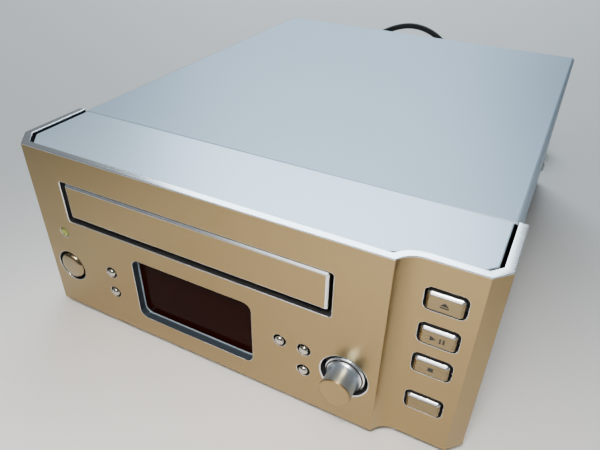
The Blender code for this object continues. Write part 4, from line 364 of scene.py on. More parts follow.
def moulded(name, colour, roughness, texture=TEXTURED_MOULD, **fixed):
    """Plastic or rubber with the texture of its mould, whose height is in metres."""
    made = Finish(name, colour, roughness, 0.0, **fixed)
    grain = made.noise(1800.0)
    made.feed("Roughness", roughness - 0.05 + grain * 0.1)
    made.tinted(made.noise(25.0, 3.0), spread=0.12)
    made.bump(grain, distance=texture, strength=0.4)
    return made.material


def board_laminate(name, colour):
    """Board with tracks that show through its lacquer."""
    made = Finish(name, colour, 0.4)
    tracks = made.node("ShaderNodeTexBrick", {"offset": 0.5}, {
        "Vector": made.place, "Scale": 120.0, "Mortar Size": 0.03, "Mortar Smooth": 0.2,
    }, output="Fac")
    lighter = tuple(min(1.0, c * 1.7) for c in colour) + (1.0,)
    made.feed("Base Color", made.mix(tracks, (*colour, 1.0), lighter))
    made.feed("Roughness", 0.4 - tracks * 0.12)
    return made.material


# %% The player's finishes
FINISHES = {
    "champagne_panel": drawn_metal("champagne_aluminium", (0.335, 0.24, 0.115), 0.30),
    "champagne_keys": drawn_metal("champagne_key_metal", (0.25, 0.19, 0.105), 0.26),
    # Bare cut aluminium: real on the openings' mouths, the door's chamfer and the knob's skirt; a painted
    # highlight on the panel's top rim and the keys' upper chamfers.
    "bright_cut_and_highlight": drawn_metal("cut_edge_and_highlight", (0.90, 0.93, 0.96), 0.22, CUT_GRAIN),
    "chrome_caps": polished_metal("polished_caps", (0.52, 0.49, 0.43), 0.08),
    "champagne_caps": polished_metal("champagne_cap", (0.34, 0.26, 0.15), 0.16),
    # A dark lacquer that paints shade on the walls of the display's opening.
    "painted_shade_wall": flaked_paint("painted_shade_lacquer", (0.055, 0.072, 0.09), 0.24, 0.45, 0.05),
    "jog_metal": drawn_metal("turned_metal", (0.41, 0.49, 0.58), 0.28, TURNED_GRAIN, 0.85),
    "silver_moulding": flaked_paint("silver_lacquer", (0.525, 0.65, 0.765), 0.36, 0.5, 0.08),
    "cover_paint": flaked_paint("sprayed_cover", (0.352, 0.445, 0.537), 0.48, 0.42, 0.2),
    "zinc_sheet": rolled_sheet("zinc_plated_sheet", (0.56, 0.57, 0.57)),
    # Black plastic of the real mouldings; also painted as shade on the openings' walls, the panel's inner
    # faces, the key sides, the shell below the ledge and the knob's groove.
    "black_moulding": moulded("black_moulding", (0.022, 0.022, 0.023), 0.45),
    "white_moulding": moulded("natural_acetal", (0.72, 0.71, 0.67), 0.4, Subsurface_Weight=0.1),
    "smoked_window": moulded("smoked_acrylic", (0.012, 0.0015, 0.0004), 0.14, POLISHED_MOULD,
                             Specular_IOR_Level=0.03),
    "display_glass": moulded("dark_glass", (0.03, 0.032, 0.035), 0.1, POLISHED_MOULD),
    "green_lens": moulded("green_lens", (0.27, 0.31, 0.06), 0.22, POLISHED_MOULD, Transmission_Weight=0.2),
    "circuit_board": board_laminate("board_laminate", (0.21, 0.13, 0.045)),
    "black_rubber": moulded("black_rubber", (0.014, 0.014, 0.014), 0.6, RUBBER_MOULD),
    "laminated_iron": drawn_metal("laminated_iron", (0.13, 0.12, 0.11), 0.45, LAMINATION_GRAIN, 0.7),
}
slot_of = {part["node"]: part["material_slot"] for part in frame["record"]["subparts"]}
body_of = {node: body for body, nodes in frame["record"]["behaviour"]["bodies"].items() for node in nodes}
for name, node in frame["nodes"].items():
    node.data.materials.clear()
    node.data.materials.append(FINISHES[slot_of[name]])
mains_lead.data.materials.clear()
mains_lead.data.materials.append(FINISHES["black_rubber"])
print(len(FINISHES), "finishes on", len(frame["nodes"]), "solids")

# %% [markdown]
# ## Shapes from loops
# Nearly every visible piece of the player is a skin over a few loops: a panel's section at six heights, a
# button's circles along its axis, a key's round rectangle at several depths. Boxes with a Bevel modifier
# would do for some of them, but loops keep each size in one place, and the round edge between a face and a
# side is just three or four more loops.

# %% Skins over loops
SHARP_ANGLE = math.radians(32)


def piece_from(name, mesh, *finishes):
    """Link a mesh with its finishes, smooth but for its sharp edges."""
    if [*mesh.materials] != [*finishes]:
        mesh.materials.clear()
        for finish in finishes:
            mesh.materials.append(finish)
    mesh.shade_smooth()
    mesh.set_sharp_from_angle(angle=SHARP_ANGLE)
    piece = bpy.data.objects.new(name, mesh)
    bpy.context.scene.collection.objects.link(piece)
    return piece


def skinned(name, loops, slot_name="black_moulding", ring=False, strip=False):
    """A closed skin over loops. Its ends are capped, with a strip if a loop is a line there and back."""
    count = len(loops[0])
    rows = list(range(len(loops)))
    pairs = list(zip(rows, rows[1:])) + ([(rows[-1], 0)] if ring else [])
    faces = []
    for low, high in pairs:
        for k in range(count):
            after = (k + 1) % count
            faces.append((low * count + k, low * count + after, high * count + after, high * count + k))
    caps = [] if ring else [tuple(range(count))]
    if strip:
        caps = [(k, k + 1, count - 2 - k, count - 1 - k) for k in range(count // 2 - 1)]
    for cap in caps:
        faces += [cap[::-1], tuple(rows[-1] * count + k for k in cap)]
    mesh = bpy.data.meshes.new(name)
    mesh.from_pydata([point for loop in loops for point in loop], [], faces)
    shape = bmesh.new()
    shape.from_mesh(mesh)
    bmesh.ops.recalc_face_normals(shape, faces=shape.faces)
    shape.to_mesh(mesh)
    shape.free()
    return piece_from(name, mesh, FINISHES[slot_name])


# %% Outlines
LEAST_RADIUS = 0.0002
FINE_STEPS = 6
FEW_SIDES = 24


def rounded(width, height, radius, steps=4):
    """Points round a rectangle with round corners, about its middle."""
    points = []
    for quarter, (side, level) in enumerate(((1, 1), (-1, 1), (-1, -1), (1, -1))):
        middle = (side * (width / 2 - radius), level * (height / 2 - radius))
        for k in range(steps + 1):
            turn = math.radians(90) * (quarter + k / steps)
            points.append((middle[0] + radius * math.cos(turn), middle[1] + radius * math.sin(turn)))
    return points


def circle(radius, sides=48):
    """Points round a circle, about its middle."""
    turns = [math.tau * k / sides for k in range(sides)]
    return [(radius * math.cos(turn), radius * math.sin(turn)) for turn in turns]


def rect(width, height, radius):
    """An outline that can be made larger or smaller all round."""
    return lambda extra: rounded(width + 2 * extra, height + 2 * extra, max(radius + extra, LEAST_RADIUS),
                                 FINE_STEPS)


def disc(radius, sides=48):
    """A round outline that can be made larger or smaller."""
    return lambda extra: circle(radius + extra, sides)


def facing(points, centre, depth):
    """Points of an upright outline, seen from the front, at a depth."""
    return [(centre[0] + x, depth, centre[1] + z) for x, z in points]


def round_edge(size, steps=3):
    """Pairs of (inward, back) along a quarter round, from the face to the side."""
    turns = [math.radians(90) * k / steps for k in range(steps + 1)]
    return [(size * (1 - math.sin(t)), size * (1 - math.cos(t))) for t in turns]


# %% Cuts, joins and trims


def settled(target, *gone):
    """Apply a piece's modifiers, and take the pieces away that they used."""
    bpy.context.view_layer.update()
    mesh = bpy.data.meshes.new_from_object(target.evaluated_get(bpy.context.evaluated_depsgraph_get()))
    name = target.name
    for old in (target, *gone):
        bpy.data.objects.remove(old, do_unlink=True)
    return piece_from(name, mesh, *mesh.materials)


def with_change(target, operation, tools):
    """Cut with, or join, other pieces, then keep the result as a plain mesh."""
    for tool in tools:
        change = target.modifiers.new(operation, "BOOLEAN")
        change.operation = operation
        change.solver = "EXACT"
        change.material_mode = "TRANSFER"
        change.object = tool
    return settled(target, *tools)


def trimmed(piece, finish, chosen):
    """Give the faces that chosen picks, by their middle and direction, a finish of their own."""
    piece.data.materials.append(finish)
    for face in piece.data.polygons:
        if chosen(face.center, face.normal):
            face.material_index = len(piece.data.materials) - 1
    return piece


# %% Riding on the model


def fitted(piece, slot_name, *nodes, body=None):
    """Ride on the body of the node that the piece stands for, and shade flat faces evenly. slot_name is not
    used.
    """
    piece.modifiers.new("even_shading", "WEIGHTED_NORMAL").keep_sharp = True
    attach(piece, body or body_of[nodes[0]])
    if nodes:
        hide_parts(*nodes)
    return piece


# %% [markdown]
# ## The front panel
# The panel is one drawn section of aluminium: chamfer, face, a hollow step and a recess for the keys. It
# could be a box with cuts, but a section skinned at six heights follows the way the real one is drawn, and
# eases its rims as well. Each opening is cut with a tool whose mouth is flared, which leaves the bright
# rounded edge that the photograph shows.

# %% Sizes shared with the model
FOOT = 0.004
TOP = 0.093
FACE = -0.1319
STEP = 0.0056
RECESS = FACE + STEP
HALF = 0.1075
WALL = 0.0035
RETURN = 0.042
COVER_TOP = 0.0922
OVERRUN = 0.003
print("the panel is", 2 * HALF, "m wide")

# %% The panel's section
STEP_X = 0.0725
STEP_RUN = 0.0085
LEFT_CHAMFER = (0.008, 0.009)
RIGHT_CHAMFER = (0.0057, 0.006)
ARC_STEPS = 16


def inset(points, distances):
    """Move each edge of an open line to its left by its own distance, and join them again."""
    lines = []
    for (a, b), distance in zip(zip(points, points[1:]), distances):
        along = (Vector(b) - Vector(a)).normalized()
        aside = Vector((-along.y, along.x)) * distance
        lines.append((Vector(a) + aside, along, Vector(b) + aside))
    result = [lines[0][0]]
    for (start, along, _), (other, other_along, _) in zip(lines, lines[1:]):
        result.append(start + along * ((other - start).cross(other_along) / along.cross(other_along)))
    return result + [lines[-1][2]]


def panel_corners(back):
    """The corners of the panel from above, with a straight slope for the curve of its step."""
    left_run, left_depth = LEFT_CHAMFER
    right_run, right_depth = RIGHT_CHAMFER
    return [(-HALF, back), (-HALF, left_depth), (-HALF + left_run, 0.0), (STEP_X, 0.0),
            (STEP_X + STEP_RUN, STEP), (HALF - right_run, STEP), (HALF, STEP + right_depth), (HALF, back)]


def panel_line(depth, back):
    """A line depth inside the panel's outer line, with the step's curve, up to the back of its returns."""
    corners = panel_corners(back)
    left, right = inset(corners[:4], [depth] * 3)[:3], inset(corners[4:], [depth] * 3)[1:]
    radius = (STEP_RUN ** 2 + STEP ** 2) / (2 * STEP)
    middle = Vector((STEP_X + STEP_RUN, STEP - radius))
    radius += depth
    sweep = math.acos((depth - middle.y) / radius)
    arc = []
    for k in range(ARC_STEPS + 1):
        turn = sweep * (1 - k / ARC_STEPS)
        arc.append(middle + Vector((-math.sin(turn), math.cos(turn))) * radius)
    return left + arc + right


# %% Places on the front
TRAY_X = -0.0146
TRAY = (TRAY_X, TOP - 0.024575)
DISPLAY = (-0.0148, TOP - 0.0612)
JOG = (0.0587, TOP - 0.0634)
POWER = (-0.0872, TOP - 0.0635)
LAMP = (-0.0864, TOP - 0.0431)
SMALL_BUTTONS = {
    "timer_button": (-0.0603, TOP - 0.0575), "display_button": (-0.0603, TOP - 0.0693),
    "tuning_down_button": (0.0299, TOP - 0.0575), "tuning_up_button": (0.041, TOP - 0.0575),
    "mode_button": (0.041, TOP - 0.0693),
}
KEY_X = 0.0899
KEYS = {"eject_key": TOP - 0.0157, "play_pause_key": TOP - 0.0315, "stop_key": TOP - 0.0467,
        "band_key": TOP - 0.0673}

# %% Openings, each with its place and the width of its bright mouth
OPENINGS = {
    "tray": (rect(0.1328, 0.02105, 0.0014), TRAY, 0.00025),
    "display": (rect(0.0627, 0.034, 0.004), DISPLAY, 0.00015),
    "power": (disc(0.0083), POWER, 0.0002),
    "lamp": (disc(0.0026, FEW_SIDES), LAMP, 0.0002),
    "jog": (disc(0.0102), JOG, 0.0004),
}
for name, spot in SMALL_BUTTONS.items():
    OPENINGS[name] = (disc(0.003, 32), spot, 0.00015)
KEY_OPENING = rect(0.015, 0.0099, 0.0024)
KEY_MOUTH = 0.00018


def flared(name, outline, centre, face, edge, wall="black_moulding"):
    """A cutter whose hole has a rounded bright mouth and a wall painted dark as shade."""
    loops = [facing(outline(edge), centre, face - OVERRUN)]
    for inward, behind in round_edge(edge):
        loops.append(facing(outline(inward), centre, face + behind))
    loops.append(facing(outline(0), centre, face + WALL + OVERRUN))
    cutter = skinned(name, loops, "bright_cut_and_highlight")
    return trimmed(cutter, FINISHES[wall], lambda middle, direction: middle.y > face + edge)


cutters = []
for name, (outline, spot, mouth) in OPENINGS.items():
    # The walls of the openings are painted dark as shade, the display's in its own dark lacquer.
    wall = "painted_shade_wall" if name == "display" else "black_moulding"
    cutters.append(flared(name + "_hole", outline, spot, FACE, mouth, wall))
for name, level in KEYS.items():
    cutters.append(flared(name + "_hole", KEY_OPENING, (KEY_X, level), RECESS, KEY_MOUTH))
print(len(cutters), "openings")

# %% Panel
PANEL_EDGE = 0.0004
RETURN_END = 0.001


def painted_shade_side(middle, direction):
    """Whether a face of the panel looks backwards or towards its middle, short of the ends of its returns;
    these faces are painted black as shade.
    """
    short = middle.y < FACE + RETURN - RETURN_END and middle.z < TOP - PANEL_EDGE
    return short and (direction.y > 0.3 or direction.x * middle.x < -0.03)


levels = [(inward, FOOT + up) for inward, up in round_edge(PANEL_EDGE, 2)]
levels += [(inward, TOP - up) for inward, up in reversed(round_edge(PANEL_EDGE, 2))]
rings = []
for inward, z in levels:
    line = panel_line(inward, RETURN - inward) + panel_line(WALL - inward, RETURN - inward)[::-1]
    rings.append([(x, y + FACE, z) for x, y in line])
panel = skinned("panel", rings, "champagne_panel", strip=True)
# Only the top rim gets the bright finish: partly a real cut edge, partly a painted highlight, as the lower rim
# stays champagne.
trimmed(panel, FINISHES["bright_cut_and_highlight"], lambda middle, direction: middle.z > TOP - PANEL_EDGE)
# The panel's faces that look back or inward show only in slots, and are painted black as shade.
trimmed(panel, FINISHES["black_moulding"], painted_shade_side)
panel = with_change(panel, "DIFFERENCE", cutters)
fitted(panel, "champagne_panel", "front_panel")
print("panel:", len(panel.data.polygons), "faces")

# %% [markdown]
# ## The inner shell and its ledge
# Behind the panel sits a moulded shell. Only its top shows, as the pale ledge between the panel's rim and
# the cover. The plain solid would do for the rest, but the ledge needs an eased edge, so the shell is skinned
# again, hollowed, and pierced where the front's pieces pass; all below the ledge is painted black as shade.

# %% Inner shell
SHELL_WALL = 0.002
SHELL_GAPS = [0.0014, 0.0014, 0.0004, 0.0024, 0.0004, 0.0014, 0.0014]
SHELL_LOW = FOOT + 0.0013
LEDGE_EDGE = 0.0005
LEDGE_DEPTH = 0.0006


def shell_line(extra, back):
    """The shell's outline from above, extra further inside the panel."""
    return [(p.x, p.y + FACE) for p in inset(panel_corners(back), [WALL + gap + extra for gap in SHELL_GAPS])]


levels = [(0.0, SHELL_LOW)] + [(inward, COVER_TOP - up) for inward, up in reversed(round_edge(LEDGE_EDGE, 3))]
shell = skinned("inner_shell", [[(x, y, z) for x, y in shell_line(inward, RETURN - inward)]
                                for inward, z in levels], "silver_moulding")
hollow = [[(x, y, z) for x, y in shell_line(SHELL_WALL, RETURN + OVERRUN)]
          for z in (SHELL_LOW - OVERRUN, COVER_TOP - SHELL_WALL)]
holes = [skinned("hollow", hollow)]

# %% Passes through the shell
PASS_DEPTHS = (FACE, FACE + 0.0157)
PASSES = {
    "tray_pass": (rounded(0.134, 0.02225, 0.0014, FINE_STEPS), TRAY),
    "window_pocket": (rounded(0.0673, 0.0386, 0.004, FINE_STEPS), DISPLAY),
    "power_pass": (circle(0.0089), POWER),
    "lamp_pass": (circle(0.0036, FEW_SIDES), LAMP),
    "jog_pass": (circle(0.0102), JOG),
}
for name, spot in SMALL_BUTTONS.items():
    PASSES[name + "_pass"] = (circle(0.0036, FEW_SIDES), spot)
for name, level in KEYS.items():
    PASSES[name + "_pass"] = (rounded(0.0156, 0.0105, 0.0027), (KEY_X, level))
for name, (outline, spot) in PASSES.items():
    holes.append(skinned(name, [facing(outline, spot, y) for y in PASS_DEPTHS]))
shell = with_change(shell, "DIFFERENCE", holes)
print(len(PASSES), "passes")

# %% Bosses that carry the front board and the key board
BOSS_RADIUS = 0.003
FRONT_BOSSES = [(-0.092, 0.015), (0.0635, 0.015), (0.0647, 0.0495), (-0.08, 0.0495)]
FRONT_DEPTHS = (FACE + 0.0049, FACE + 0.0167)
KEY_BOSSES = [(KEY_X, 0.012), (KEY_X, 0.036)]
KEY_DEPTHS = (FACE + 0.0105, FACE + 0.0223)
bosses = []
for spots, depths in ((FRONT_BOSSES, FRONT_DEPTHS), (KEY_BOSSES, KEY_DEPTHS)):
    for spot in spots:
        boss = [facing(circle(BOSS_RADIUS, FEW_SIDES), spot, y) for y in depths]
        bosses.append(skinned(f"boss_{len(bosses)}", boss))
shell = with_change(shell, "UNION", bosses)
# All of the shell below the ledge is painted black, as shade in the slots and gaps behind the panel.
trimmed(shell, FINISHES["black_moulding"], lambda middle, direction: middle.z < COVER_TOP - LEDGE_DEPTH)
fitted(shell, "silver_moulding", "inner_bezel")
print("shell:", len(shell.data.polygons), "faces")

# %% [markdown]
# ## The cover
# The cover is one steel sheet, bent down at both sides with a small radius and painted. A plane with a
# Solidify modifier would have square edges, so its section is skinned from front to rear instead, with the
# cut edges broken as a deburred sheet has them.

# %% Cover
COVER_HALF = 0.1048
COVER_FRONT = FACE + RETURN + 0.0001
BEND = 0.002
SHEET = 0.0009
CUT_EDGE = 0.0003


def cover_line(depth, low, steps=6):
    """The cover's section from its left foot to its right one, depth inside its outer face."""
    half, top, radius = COVER_HALF - depth, COVER_TOP - depth, BEND - depth
    left = [(-half, low)]
    for k in range(steps + 1):
        turn = math.radians(90) * k / steps
        left.append((-half + radius * (1 - math.cos(turn)), top - radius * (1 - math.sin(turn))))
    return left + [(-x, z) for x, z in reversed(left)]


cover_steps = [(CUT_EDGE, COVER_FRONT), (0, COVER_FRONT + CUT_EDGE),
               (0, REAR_Y - CUT_EDGE), (CUT_EDGE, REAR_Y)]
rings = []
for inward, y in cover_steps:
    line = cover_line(inward, FOOT + inward) + cover_line(SHEET - inward, FOOT + inward)[::-1]
    rings.append([(x, y, z) for x, z in line])
cover = fitted(skinned("cover", rings, "cover_paint", strip=True), "cover_paint", "top_cover")
print("cover:", len(cover.data.polygons), "faces")

# %% [markdown]
# ## Tray door and display
# The door is a flat cap with a broad bright chamfer, and it stands a little in front of the tray. The display
# is a smoked window that laps behind its opening, with the dark tube some way behind it. A Bevel modifier
# would give all of a cap's edges one width, so each cap takes a list of steps for its front edge alone.

# %% Tray door
CHAMFER = [(0.00115, 0.0), (0.0009, 0.00006), (0.00012, 0.00078), (0.0, 0.00105)]
DOOR = rect(0.1289, 0.0177, 0.0008)
DOOR_SPOT = (TRAY_X, TOP - 0.02405)


def facing_cap(name, outline, centre, front, back, edge, slot_name):
    """A cap that faces forwards, with (inward, back) steps along its front edge."""
    loops = [facing(outline(-inward), centre, front + behind) for inward, behind in edge]
    return skinned(name, loops + [facing(outline(0), centre, back)], slot_name)


def on_chamfer(direction):
    """Whether a face looks forwards at a slant, as those of a chamfer do."""
    return -0.99 < direction.y < -0.1


door = facing_cap("door", DOOR, DOOR_SPOT, FACE + 0.0003, FACE + 0.0039, CHAMFER, "champagne_panel")
fitted(door, "champagne_panel", "tray_door")
trimmed(door, FINISHES["bright_cut_and_highlight"], lambda middle, direction: on_chamfer(direction))
print("door:", len(door.data.polygons), "faces")

# %% Display window, its trim and its tube
PANE = rect(0.0667, 0.038, 0.004)
PANE_DEPTHS = (FACE + 0.0038, FACE + 0.0059)
PANE_EDGE = 0.0003
TRIM_OUTER = (0.0625, 0.0338, 0.0039)
TRIM_INNER = (0.0617, 0.033, 0.0035)
TRIM_FRONT = FACE + 0.0034
TRIM_BACK = FACE + 0.0039
TUBE = rect(0.0597, 0.031, 0.0015)
TUBE_DEPTHS = (FACE + 0.0092, FACE + 0.0167)
TUBE_EDGE = 0.0006
pane = facing_cap("pane", PANE, DISPLAY, *PANE_DEPTHS, round_edge(PANE_EDGE), "smoked_window")
fitted(pane, "smoked_window", "display_window")
trim_loops = [facing(rounded(*size, FINE_STEPS), DISPLAY, y) for size, y in (
    (TRIM_OUTER, TRIM_FRONT), (TRIM_INNER, TRIM_FRONT), (TRIM_INNER, TRIM_BACK), (TRIM_OUTER, TRIM_BACK))]
trim = skinned("window_trim", trim_loops, "silver_moulding", ring=True)
fitted(trim, "silver_moulding", body="player")
tube = facing_cap("tube", TUBE, DISPLAY, *TUBE_DEPTHS, round_edge(TUBE_EDGE), "display_glass")
fitted(tube, "display_glass", "display_tube")
print("window:", round(PANE_DEPTHS[0] - FACE, 4), "m behind the panel's face")

# %% [markdown]
# ## The lens of the lamp
# A small green lens stands over the power button. A Screw modifier could turn it about its axis, but a list
# of (radius, reach) points does the same with one loop for each point, and the same function then makes the
# buttons, the knob, the feet and the sockets.

# %% Turned pieces, and the lens
DOME_START = 0.4


def turned(name, profile, base, slot_name, axis="-Y", sides=48):
    """A profile of (radius, reach) points turned about an axis through base: -Y, Y or Z."""
    loops = []
    for radius, reach in profile:
        ring = circle(radius, sides)
        if axis == "Z":
            loops.append([(base[0] + a, base[1] + b, base[2] + reach) for a, b in ring])
        else:
            y = base[1] + (reach if axis == "Y" else -reach)
            loops.append([(base[0] + a, y, base[2] + b) for a, b in ring])
    return skinned(name, loops, slot_name)


def dome(radius, reach, low, steps=7):
    """Profile points of a shallow dome, from near its middle to its rim."""
    turns = [math.radians(90) * (k + DOME_START) / (steps + DOME_START) for k in range(steps + 1)]
    return [(radius * math.sin(t), low + (reach - low) * math.cos(t)) for t in turns]


LAMP_LENS = dome(0.0023, 0.0008, 0.0) + [(0.0023, -0.0038), (0.0032, -0.0038), (0.0032, -0.0048),
                                         (0.0023, -0.0048), (0.0023, -0.0122)]
lens = turned("lens", LAMP_LENS, (LAMP[0], FACE, LAMP[1]), "green_lens")
fitted(lens, "green_lens", "indicator_lens")
print("lens:", len(lens.data.polygons), "faces")

# %% [markdown]
# ## Buttons, keys and their marks
# The small round buttons are plated domes, and the power button is a champagne cap with a round shoulder.
# Each has a collar that keeps it behind the panel and a stem that reaches its switch, so each is turned from
# one profile. The keys are flat, with a chamfer that catches the light, and carry plain transport marks. Their
# upper chamfer is painted bright as a highlight, and their sides are painted black as shade. The marks could
# be painted by the finish, but thin flat shapes keep their edges sharp from near by.

# %% Round buttons
COLLAR = 0.0038
COLLAR_THICK = 0.001
RIM = 0.0009
STEM_RADIUS = 0.0016
POWER_RADIUS = 0.0071
POWER_STEM = 0.0117
POWER_CROWN = [(0.0003, 0.0011), (0.0025, 0.00108), (0.0042, 0.00102), (0.0050, 0.00095), (0.0056, 0.0008),
               (0.0061, 0.00055), (0.0065, 0.0002), (0.0068, -0.00025), (0.007, -0.0008), (0.0071, -0.0014)]
SMALL_RADIUS = 0.0022
SMALL_STEM = 0.0119
SMALL_CROWN = dome(0.0021, 0.0013, -0.0001) + [(SMALL_RADIUS, -0.0003)]


def button(name, node, spot, radius, crown, stem, finish="chrome_caps"):
    """A cap turned with its crown, the collar that holds it behind the panel, and its stem."""
    profile = crown + [(radius, -COLLAR), (radius + RIM, -COLLAR), (radius + RIM, -COLLAR - COLLAR_THICK),
                       (STEM_RADIUS, -COLLAR - COLLAR_THICK), (STEM_RADIUS, -stem)]
    return fitted(turned(name, profile, (spot[0], FACE, spot[1]), finish), "chrome_caps", node)


button("power_cap", "power_button", POWER, POWER_RADIUS, POWER_CROWN, POWER_STEM, "champagne_caps")
for node, spot in SMALL_BUTTONS.items():
    button(node + "_cap", node, spot, SMALL_RADIUS, SMALL_CROWN, SMALL_STEM)
print(1 + len(SMALL_BUTTONS), "round buttons")

# %% A key's cap
KEY_FRONT = RECESS - 0.0015
KEY_STEM = RECESS + 0.0119
# How far behind a key's front its painted black shade begins.
KEY_SHADE_DEPTH = 0.0012
KEY_OUTLINE = rect(0.013, 0.0079, 0.0014)


def key_cap(node, level):
    """The cap, its collar and its stem as one skin."""
    centre = (KEY_X, level)
    loops = [facing(KEY_OUTLINE(-inward), centre, KEY_FRONT + behind) for inward, behind in CHAMFER]
    back = RECESS + COLLAR
    for extra, y in ((0, back), (RIM, back), (RIM, back + COLLAR_THICK)):
        loops.append(facing(KEY_OUTLINE(extra), centre, y))
    stem = rounded(2 * STEM_RADIUS, 2 * STEM_RADIUS, STEM_RADIUS, FINE_STEPS)
    loops += [facing(stem, centre, back + COLLAR_THICK), facing(stem, centre, KEY_STEM)]
    cap = fitted(skinned(node + "_cap", loops, "champagne_keys"), "champagne_keys", node)
    # Only the upper chamfer gets the bright finish, as a painted highlight; the other chamfers stay champagne.
    trimmed(cap, FINISHES["bright_cut_and_highlight"], lambda middle, direction: on_chamfer(direction) and direction.z > 0.3)
    # All faces more than a little behind the key's front, its sides too, are painted black as shade.
    return trimmed(cap, FINISHES["black_moulding"], lambda middle, direction: middle.y > KEY_FRONT + KEY_SHADE_DEPTH)


# %% Keys with their marks, drawn in millimetres across and up
MARK_RISE = 0.00003
MM_PER_METRE = 1000


def bar(left, right, low, high):
    """An upright rectangle of a mark."""
    return [(left, low), (right, low), (right, high), (left, high)]


MARKS = {
    "eject_key": [[(-1.5, -0.25), (1.5, -0.25), (0, 1.25)], bar(-1.5, 1.5, -1.2, -0.65)],
    "play_pause_key": [[(-2.6, -1.15), (-0.4, 0), (-2.6, 1.15)], bar(0.75, 1.4, -1.1, 1.1),
                       bar(2.0, 2.65, -1.1, 1.1)],
    "stop_key": [bar(-1.0, 1.0, -0.95, 0.95)],
}


def mark(node, shapes):
    """Flat printed shapes on a key, each one a thin slab over its outline."""
    vertices, faces = [], []
    for shape in shapes:
        first, count = len(vertices), len(shape)
        for depth in (KEY_FRONT - MARK_RISE, KEY_FRONT + MARK_RISE):
            vertices += [(KEY_X + x / MM_PER_METRE, depth, KEYS[node] + z / MM_PER_METRE) for x, z in shape]
        faces += [tuple(first + k for k in range(count)), tuple(first + count + k for k in range(count))[::-1]]
        for k in range(count):
            after = (k + 1) % count
            faces.append((first + k, first + count + k, first + count + after, first + after))
    mesh = bpy.data.meshes.new(node + "_mark")
    mesh.from_pydata(vertices, [], faces)
    return fitted(piece_from(node + "_mark", mesh, FINISHES["black_rubber"]), "black_rubber", body=node)


for node, level in KEYS.items():
    key_cap(node, level)
    if node in MARKS:
        mark(node, MARKS[node])
print(len(KEYS), "keys,", len(MARKS), "of them marked")

# %% [markdown]
# ## The jog knob
# The knob is a silver barrel, waisted where the fingers turn it, and it flares into a skirt behind the
# panel's face. Its front is a flat champagne face with a narrow silver rim. All of it is round about one
# axis, so a profile turned about that axis is the shortest way, with many short steps where it shines.

# %% Jog knob
KNOB_SIDES = 64
KNOB_BASE = (JOG[0], FACE, JOG[1])
KNOB = [(0.0003, 0.00905), (0.00612, 0.00905), (0.0062, 0.00915), (0.0063, 0.00915), (0.00645, 0.00907),
        (0.00653, 0.00894), (0.0066, 0.00866), (0.00648, 0.0072), (0.00638, 0.0058), (0.00635, 0.0045),
        (0.00638, 0.0031), (0.0065, 0.0018), (0.0067, 0.0009), (0.00705, 0.00025), (0.0075, -0.0002),
        (0.0077, -0.0012), (0.008, -0.0012), (0.0081, -0.0005),
        (0.0084, -0.0007), (0.0087, -0.001), (0.00885, -0.00135), (0.0089, -0.0018),
        (0.0089, -0.004), (0.0033, -0.004), (0.0033, 0.0046), (0.0003, 0.0046)]
SKIRT_RADIUS = 0.0071
SKIRT_FRONT = FACE - 0.001
GROOVE_RADII = (0.0076, 0.00812)
GROOVE_FRONT = FACE + 0.0004
KNOB_FRONT = FACE - 0.0087
INLAY = [(0.0003, 0.00917), (0.0060, 0.00917), (0.0061, 0.00914), (0.0061, 0.009)]


def from_axis(middle):
    """How far a point is from the knob's axis."""
    return math.hypot(middle.x - JOG[0], middle.z - JOG[1])


def on_skirt(middle, direction):
    """Whether a face is on the skirt."""
    return from_axis(middle) > SKIRT_RADIUS and middle.y > SKIRT_FRONT


def in_groove(middle, direction):
    """Whether a face is in the groove that runs round the skirt, which is painted black as shade."""
    return GROOVE_RADII[0] < from_axis(middle) < GROOVE_RADII[1] and middle.y > GROOVE_FRONT


knob = turned("knob", KNOB, KNOB_BASE, "jog_metal", sides=KNOB_SIDES)
fitted(knob, "jog_metal", "jog_knob")
trimmed(knob, FINISHES["bright_cut_and_highlight"], on_skirt)
# The groove is painted black as shade.
trimmed(knob, FINISHES["black_moulding"], in_groove)
trimmed(knob, FINISHES["champagne_panel"], lambda middle, direction: middle.y < KNOB_FRONT)
inlay = turned("knob_inlay", INLAY, KNOB_BASE, "champagne_panel", sides=KNOB_SIDES)
fitted(inlay, "champagne_panel", body="jog_knob")
print("knob:", len(knob.data.polygons), "faces")

# %% [markdown]
# ## Feet and screws
# What holds the case together and up is plainer, but it is the same make: turned rubber feet, and
# cross-headed screws of one size. Every screw could be modelled by itself, but its head is made once and all
# of them share that mesh, which costs nothing more.

# %% Feet
FOOT_X = 0.0865
FOOT_ENDS = {"front": FACE + 0.026, "rear": REAR_Y - 0.024}
FOOT_PROFILE = [(0.0003, 0.0037), (0.011, 0.0037), (0.011, 0.0011), (0.0108, 0.0004), (0.0103, 0.0),
                (0.0078, 0.0), (0.0074, 0.0005), (0.0046, 0.0005), (0.0042, 0.0019), (0.0003, 0.0019)]
for end, y in FOOT_ENDS.items():
    for side, x in (("left", -FOOT_X), ("right", FOOT_X)):
        foot = turned(f"{side}_{end}_foot", FOOT_PROFILE, (x, y, 0), "black_rubber", "Z", 40)
        fitted(foot, "black_rubber", f"foot_{end}_{side}")
print(2 * len(FOOT_ENDS), "feet")

